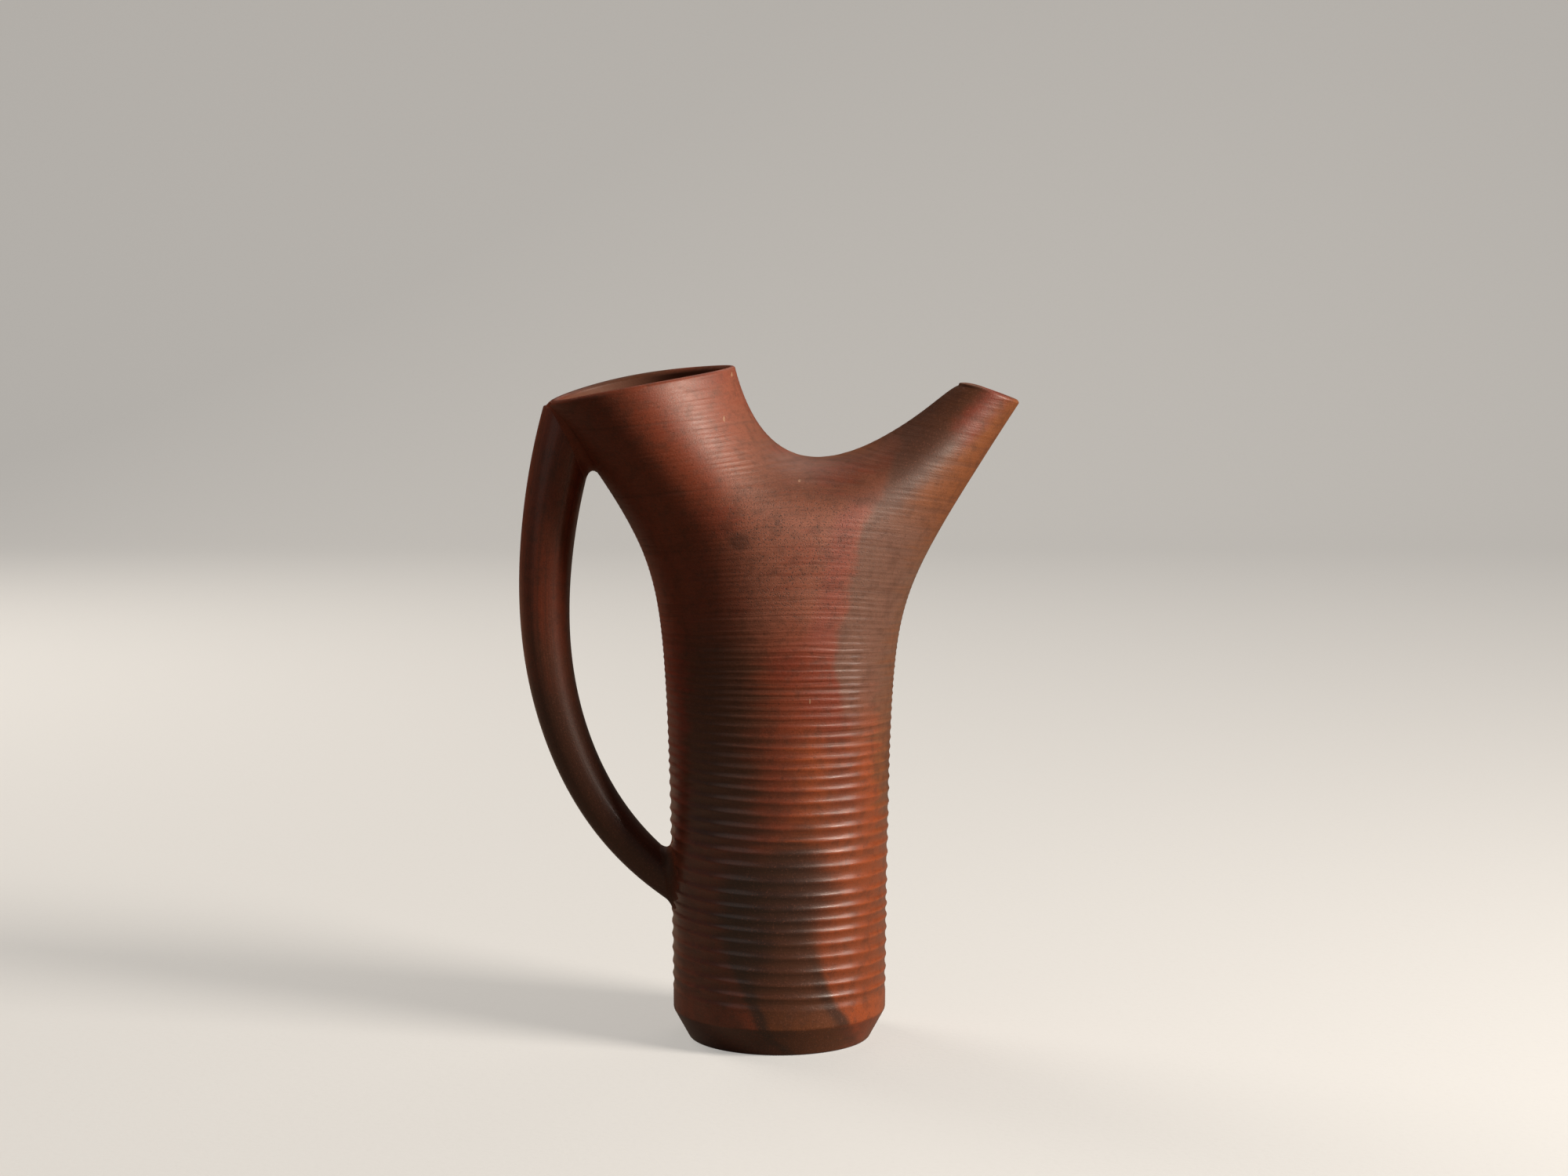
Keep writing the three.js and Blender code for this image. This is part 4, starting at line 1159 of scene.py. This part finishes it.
class PulledHandle:
    """Oval strap along a curve from the neck to the body."""

    def __init__(self, form):
        s = form.s
        self.form = form
        self.s = s
        top_z = s.neck_top - s.handle_top_drop
        top = np.array([s.handle_root - float(form.outline(top_z, form.neck)), 0.0, top_z])
        foot = np.array([-float(form.outline(s.handle_foot, form.neck)), 0.0, s.handle_foot])
        upper = np.array([-math.sin(s.upper_lean), 0.0, -math.cos(s.upper_lean)])
        lower = np.array([-math.sin(s.lower_lean), 0.0, math.cos(s.lower_lean)])
        t = np.linspace(0.0, 1.0, HANDLE_SAMPLES)[:, None]
        line = ((1 - t) ** 3 * top + 3 * (1 - t) ** 2 * t * (top + s.upper_bow * upper)
                + 3 * (1 - t) * t ** 2 * (foot + s.lower_bow * lower) + t ** 3 * foot)
        self.line = line
        steps = np.linalg.norm(np.diff(line, axis=0), axis=1)
        self.run = np.concatenate([[0.0], np.cumsum(steps)])
        self.length = self.run[-1]
        self.around = np.linspace(0.0, 2.0 * np.pi, HANDLE_SIDES, endpoint=False)

    def centre(self, distance):
        """Point and direction along the handle; past its ends the line runs straight on."""
        kept = np.clip(distance, 0.0, self.length)
        ahead, behind = (np.clip(kept + step, 0.0, self.length) for step in (0.2 * MM, -0.2 * MM))
        along = unit(self.on_line(ahead) - self.on_line(behind))
        return self.on_line(kept) + along * (distance - kept)[..., None], along

    def on_line(self, distance):
        places = [np.interp(distance, self.run, axis) for axis in self.line.T]
        return np.stack(places, axis=-1)

    def surface(self, distance, around):
        """Place on the strap: around is 0 on its outer side and half a turn on its inner side."""
        s = self.s
        share = np.clip(distance / self.length, 0.0, 1.0)
        pull = 2.0 * s.middle_thickness - 0.5 * (s.top_thickness + s.foot_thickness)
        thick = ((1 - share) ** 2 * s.top_thickness + share ** 2 * s.foot_thickness
                 + 2.0 * share * (1 - share) * pull)
        deep = blend(s.top_depth, s.foot_depth, share)
        point, along = self.centre(distance)
        outward = np.stack([along[..., 2], np.zeros_like(distance), -along[..., 0]], axis=-1)
        cos, sin = np.cos(around), np.sin(around)
        square, flat = (np.sign(v) * np.abs(v) ** STRAP_ROUNDNESS for v in (cos, sin))
        across = np.array([0.0, 1.0, 0.0])
        return (point + outward * (0.5 * thick * square)[..., None]
                + across * (0.5 * deep * flat)[..., None])

    def pierce(self, from_top):
        """Distance along each strap line where it comes out of the vessel's wall."""
        around = self.around
        if from_top:
            deepest, farthest = -6.0 * MM, 0.35 * self.length
        else:
            deepest, farthest = self.length + 14.0 * MM, 0.75 * self.length
        trial = np.linspace(deepest, farthest, PIERCE_TRIALS)
        grid = self.surface(np.broadcast_to(trial[:, None], (len(trial), len(around))), around)
        is_out = self.form.beyond(grid) > 0.0
        first = np.argmax(is_out, axis=0)
        inside = trial[np.maximum(first - 1, 0)]
        outside = trial[first]
        for _ in range(PIERCE_HALVINGS):
            middle = 0.5 * (inside + outside)
            out = self.form.beyond(self.surface(middle, around)) > 0.0
            outside = np.where(out, middle, outside)
            inside = np.where(out, inside, middle)
        return outside

    def under_rim(self, start):
        """Moves starts down along the strap until they lie under the rim's lip."""
        rim = self.form.rim
        for _ in range(RIM_STEPS):
            point = self.surface(start, self.around)
            high = point[:, 2] > rim.height + rim.slope * point[:, 0] - RIM_MARGIN
            start = np.where(high, start + RIM_STEP, start)
        return start


def closed_strap(points):
    """Points and faces of a closed tube of loops, with a middle point at each end."""
    numbers = numbered(points)
    quads = np.concatenate([ring_quads(a, b) for a, b in zip(numbers, numbers[1:])])
    start = fan_faces(numbers.size, np.roll(numbers[0], -1), numbers[0])
    end = fan_faces(numbers.size + 1, numbers[-1], np.roll(numbers[-1], -1))
    middles = [points[0].mean(axis=0)], [points[-1].mean(axis=0)]
    every = np.concatenate([points.reshape(-1, 3), *middles])
    return every, [*quads.tolist(), *start.tolist(), *end.tolist()]


def fillet_mesh(name, handle, pierce, reach, towards):
    """Ring of slip in the corner between strap and wall, rounded from one to the other."""
    form, around = handle.form, handle.around
    corner = handle.surface(pierce, around)
    turn, step = 0.01, 0.2 * MM
    side = handle.surface(pierce, around + turn) - handle.surface(pierce, around - turn)
    along = handle.surface(pierce + step, around) - handle.surface(pierce - step, around)
    strap_out = unit(np.cross(side, along))
    centre, _ = handle.centre(pierce)
    strap_out *= np.sign(dot(strap_out, corner - centre))
    wall_out, _ = form.normal(corner)
    along_wall = strap_out - wall_out * dot(strap_out, wall_out)
    along_wall /= np.maximum(np.linalg.norm(along_wall, axis=1, keepdims=True), 1e-6)
    end = form.onto_wall(corner + along_wall * reach[:, None])
    end_out, _ = form.normal(end)
    # Both edges lie a little under the clay, and the ring's back lies deeper
    start = handle.surface(pierce + towards * reach, around) - 0.12 * MM * strap_out
    end = end - 0.45 * MM * end_out
    shares = np.linspace(0.0, 1.0, FILLET_ROWS)
    curve = bent(start, corner, end, shares[:, None, None])
    sunk = np.stack([end - 0.8 * MM * end_out, corner - 0.9 * MM * (wall_out + strap_out),
                     start - 0.8 * MM * strap_out])
    # Where the reach fades out the ring dips under the strap
    dip = 0.6 * MM * np.clip(1.0 - reach / (1.5 * MM), 0.0, 1.0)
    loops = np.concatenate([curve, sunk]) - strap_out * dip[:, None]
    spread = np.repeat([*shares, 1.0, 0.5, 0.0], loops.shape[1])
    numbers = numbered(loops)
    following = np.roll(numbers, -1, axis=0)
    pairs = zip(numbers, following) if towards < 0 else zip(following, numbers)
    quads = np.concatenate([ring_quads(first, second) for first, second in pairs])
    return make_mesh(name, loops.reshape(-1, 3), quads.tolist(), values={"spread": spread})


# Stage, in metres: lamps with their power in watts and whether the clay's gloss mirrors them
Lamp = namedtuple("Lamp", "name place size power mirrored")
LAMPS = (
    Lamp("key", (1.29, -0.65, 0.98), 0.6, 41.0, True),
    Lamp("side", (1.5, -0.35, 0.3), 0.5, 1.8, True),
    Lamp("fill", (-1.3, -1.2, 0.9), 1.7, 1.6, True),
    Lamp("back", (0.5, 1.6, 2.0), 1.6, 8.0, True),
    Lamp("far", (-1.3, 1.3, 1.2), 1.2, 26.0, False),
)
LAMP_TARGET = (0.0, 0.0, 0.15)
LAMP_COLOUR = (1.0, 0.95, 0.89)
ROOM_COLOUR = (1.0, 0.97, 0.93, 1.0)
ROOM_LIGHT = 0.06
ROOM_PALENESS = 0.45

# Floor that sweeps up into the backdrop
FLOOR_FRONT = -6.0
FLOOR_WIDTH = 14.0
SWEEP_START = 2.2
SWEEP_RADIUS = 0.9
SWEEP_ROWS = 24
BACKDROP_TOP = 5.0

# Camera: lens and sensor in millimetres, and how many degrees it looks down
LENS = 75.6
SENSOR_WIDTH = 36.0
SIGHT = 50.0
CAMERA_PLACE = (0.00193, -1.4473, 0.3621)
CAMERA_TILT = 6.345


# Operators

class JUG_OT_throw_vessel(bpy.types.Operator):
    """Throw the foot, ribbed body, fork, neck and spout"""

    bl_idname = "jug.throw_vessel"
    bl_label = "Throw vessel"

    stands_for = {
        "foot": (("base",), "foot_clay", "flashed_foot"),
        "ribbed_body": (("body", "base_luting", "body_luting"), "body_clay", "flashed_body"),
        "fork": (("fork",), "body_clay", "flashed_body"),
        "neck": (("neck", "neck_luting"), "body_clay", "flashed_body"),
        "spout": (("spout", "spout_luting"), "spout_clay", "flashed_spout"),
    }

    def execute(self, context):
        sizes = context.scene.jug_sizes
        finishes = clay_finishes(context.scene.jug_colours)
        form = ThrownForm(sizes)
        skin = VesselSkin(form)
        climb = climb_of(form, skin.points)
        touched = np.maximum(skin.sides, 0.0)
        values = {
            "turn": turn_of(form, skin.points, climb),
            "press": press_of(skin.points, climb) * touched,
            "touched": touched * smooth_share(skin.points[:, 2], 13.0 * MM, 22.0 * MM),
        }
        # Where each rib's groove lies deepest, which the finish darkens as painted shade
        groove = values["press"] * (1.0 - (2.0 * (values["turn"] % 1.0) - 1.0) ** 2)
        paints = {"climb": climb, "groove": groove, "bore": np.maximum(-skin.sides, 0.0)}
        mesh = make_mesh("whole_vessel", skin.points, skin.all_faces(), values=values)
        whole = bpy.data.objects.new("whole_vessel", mesh)
        context.scene.collection.objects.link(whole)
        spiral = whole.modifiers.new("throwing_spiral", "NODES")
        spiral.node_group = throwing_spiral_tree()
        set_tree_inputs(spiral, {"Groove Depth": sizes.rib_depth, "Hand Wobble": sizes.hand_wobble,
                                 "Finish": finishes["flashed_body"]})
        pressed = whole.evaluated_get(context.evaluated_depsgraph_get())
        thrown = bpy.data.meshes.new_from_object(pressed)
        points, normals = np.zeros((2, 3 * len(thrown.vertices)))
        thrown.vertices.foreach_get("co", points)
        thrown.vertex_normals.foreach_get("vector", normals)
        points, normals = points.reshape(-1, 3), normals.reshape(-1, 3)
        bpy.data.objects.remove(whole)
        for member, (nodes, slot, finish) in self.stands_for.items():
            mesh = skin.member_mesh(member, points, normals, paints)
            make_piece(member, mesh, finishes[finish], nodes)
        return {"FINISHED"}


class JUG_OT_pull_handle(bpy.types.Operator):
    """Pull the handle from the neck to the body"""

    bl_idname = "jug.pull_handle"
    bl_label = "Pull handle"

    def execute(self, context):
        finishes = clay_finishes(context.scene.jug_colours)
        handle = PulledHandle(ThrownForm(context.scene.jug_sizes))
        around = handle.around
        sunk = handle.pierce(from_top=True) - STRAP_OVERLAP
        start = handle.under_rim(sunk)
        end = handle.pierce(from_top=False) + STRAP_OVERLAP
        share = np.linspace(0.0, 1.0, HANDLE_ROWS)[:, None]
        distance = blend(start, end, share)
        points = handle.surface(distance, np.broadcast_to(around, distance.shape))
        ripple = (np.sin(distance / (17.0 * MM) + 2.0 * np.cos(around)) * 0.10
                  + np.sin(distance / (41.0 * MM) + around) * 0.16
                  + np.sin(6.0 * around + 0.7) * 0.05) * MM
        centre, _ = handle.centre(distance)
        away = unit(points - centre)
        points = points + away * (ripple * np.sin(np.pi * share) ** 0.5)[..., None]
        # Shelf at the top that closes the corner between the strap and the lip
        shelf = points[:1] + (np.clip(0.45 * (start - sunk), 0.0, 4.0 * MM)[:, None]
                              * np.array([1.0, 0.0, handle.form.rim.slope - 0.2]))
        points = np.concatenate([shelf, points])
        distance = np.concatenate([distance[:1], distance])
        every, faces = closed_strap(points[:, ::-1])
        around_share = np.abs(np.linspace(-1.0, 1.0, HANDLE_SIDES, endpoint=False))
        around_share = np.broadcast_to(around_share, distance.shape)
        values = {"along": np.append((distance / handle.length).ravel(), [0.0, 1.0]),
                  "around": np.append(around_share[:, ::-1].ravel(), [0.5, 0.5])}
        mesh = make_mesh("handle", every, faces, values=values)
        make_piece("handle", mesh, finishes["pulled_clay"], ("handle",))
        return {"FINISHED"}


class JUG_OT_lute_handle(bpy.types.Operator):
    """Work slip into the handle's two seams"""

    bl_idname = "jug.lute_handle"
    bl_label = "Lute handle"

    def execute(self, context):
        sizes = context.scene.jug_sizes
        finishes = clay_finishes(context.scene.jug_colours)
        handle = PulledHandle(ThrownForm(sizes))
        inner = 0.5 * (1.0 - np.cos(handle.around))
        top = handle.under_rim(handle.pierce(from_top=True))
        low = handle.pierce(from_top=False)
        upper_reach = sizes.upper_fillet * (0.02 + 0.98 * inner ** 0.85)
        lower_reach = sizes.lower_fillet * (0.5 + 0.5 * inner)
        seams = (("upper_luting", "handle_upper_luting", top, upper_reach, 1.0),
                 ("lower_luting", "handle_lower_luting", low, lower_reach, -1.0))
        for name, node, pierce, reach, towards in seams:
            mesh = fillet_mesh(name, handle, pierce, reach, towards)
            make_piece(name, mesh, finishes["worked_slip"], (node,))
        return {"FINISHED"}


class JUG_OT_set_stage(bpy.types.Operator):
    """Set the floor, backdrop, lamps and camera"""

    bl_idname = "jug.set_stage"
    bl_label = "Set stage"

    def execute(self, context):
        scene = context.scene
        self.floor(scene)
        for lamp in LAMPS:
            self.lamp(scene, lamp)
        self.room(scene)
        scene.view_settings.view_transform = "Standard"
        camera = bpy.data.cameras.new("camera")
        camera.lens = LENS
        camera.sensor_width = SENSOR_WIDTH
        camera.clip_end = SIGHT
        seat = bpy.data.objects.new("camera", camera)
        seat.location = CAMERA_PLACE
        seat.rotation_euler = (math.radians(90.0 - CAMERA_TILT), 0.0, 0.0)
        scene.collection.objects.link(seat)
        scene.camera = seat
        return {"FINISHED"}

    def floor(self, scene):
        """Pale floor that sweeps up into a backdrop."""
        bend = np.linspace(0.0, 0.5 * np.pi, SWEEP_ROWS)
        sweep = [(SWEEP_START + SWEEP_RADIUS * math.sin(a),
                  SWEEP_RADIUS - SWEEP_RADIUS * math.cos(a)) for a in bend]
        profile = [(FLOOR_FRONT, 0.0), *sweep, (SWEEP_START + SWEEP_RADIUS, BACKDROP_TOP)]
        ends = (-0.5 * FLOOR_WIDTH, 0.5 * FLOOR_WIDTH)
        rows = np.array([[(x, y, z) for x in ends] for y, z in profile])
        numbers = numbered(rows)
        quads = np.concatenate([arc_quads(a, b) for a, b in zip(numbers, numbers[1:])])
        mesh = make_mesh("floor", rows.reshape(-1, 3), quads.tolist())
        mesh.materials.append(stage_material(palette(scene.jug_colours)))
        floor = bpy.data.objects.new("floor", mesh)
        scene.collection.objects.link(floor)

    def room(self, scene):
        """Soft light from all round, paler to the camera than to the jug."""
        world = bpy.data.worlds.new("studio")
        world.use_nodes = True
        g = Graph(world.node_tree)
        feeds = {"Color": ROOM_COLOUR, "Strength": ROOM_LIGHT + ROOM_PALENESS * pale_rays(g)}
        g.add("ShaderNodeOutputWorld", {"Surface": g.put("ShaderNodeBackground", feeds)})
        scene.world = world

    def lamp(self, scene, given):
        """Round soft lamp that faces the jug."""
        light = bpy.data.lights.new(given.name, "AREA")
        light.shape = "DISK"
        light.size = given.size
        light.energy = given.power
        light.color = LAMP_COLOUR
        lamp = bpy.data.objects.new(given.name, light)
        lamp.location = given.place
        lamp.visible_glossy = given.mirrored
        facing = Vector(LAMP_TARGET) - Vector(given.place)
        lamp.rotation_euler = facing.to_track_quat("-Z", "Y").to_euler()
        scene.collection.objects.link(lamp)


class JUG_PT_sidebar(bpy.types.Panel):
    """Steps of making the jug, with its sizes and colours"""

    bl_idname = "JUG_PT_sidebar"
    bl_label = "Stoneware jug"
    bl_space_type = "VIEW_3D"
    bl_region_type = "UI"
    bl_category = "Jug"

    def draw(self, context):
        for step in STEPS:
            self.layout.operator(step.bl_idname)
        for group in (context.scene.jug_sizes, context.scene.jug_colours):
            column = self.layout.column()
            for name in group.__annotations__:
                column.prop(group, name)


STEPS = (JUG_OT_throw_vessel, JUG_OT_pull_handle, JUG_OT_lute_handle, JUG_OT_set_stage)
CLASSES = (JugSizes, JugColours, *STEPS, JUG_PT_sidebar)


def register():
    for cls in CLASSES:
        bpy.utils.register_class(cls)
    bpy.types.Scene.jug_sizes = bpy.props.PointerProperty(type=JugSizes)
    bpy.types.Scene.jug_colours = bpy.props.PointerProperty(type=JugColours)


def unregister():
    del bpy.types.Scene.jug_colours
    del bpy.types.Scene.jug_sizes
    for cls in reversed(CLASSES):
        bpy.utils.unregister_class(cls)


def main():
    register()
    bpy.ops.jug.throw_vessel()
    bpy.ops.jug.pull_handle()
    bpy.ops.jug.lute_handle()
    bpy.ops.jug.set_stage()


if __name__ == "__main__":
    main()
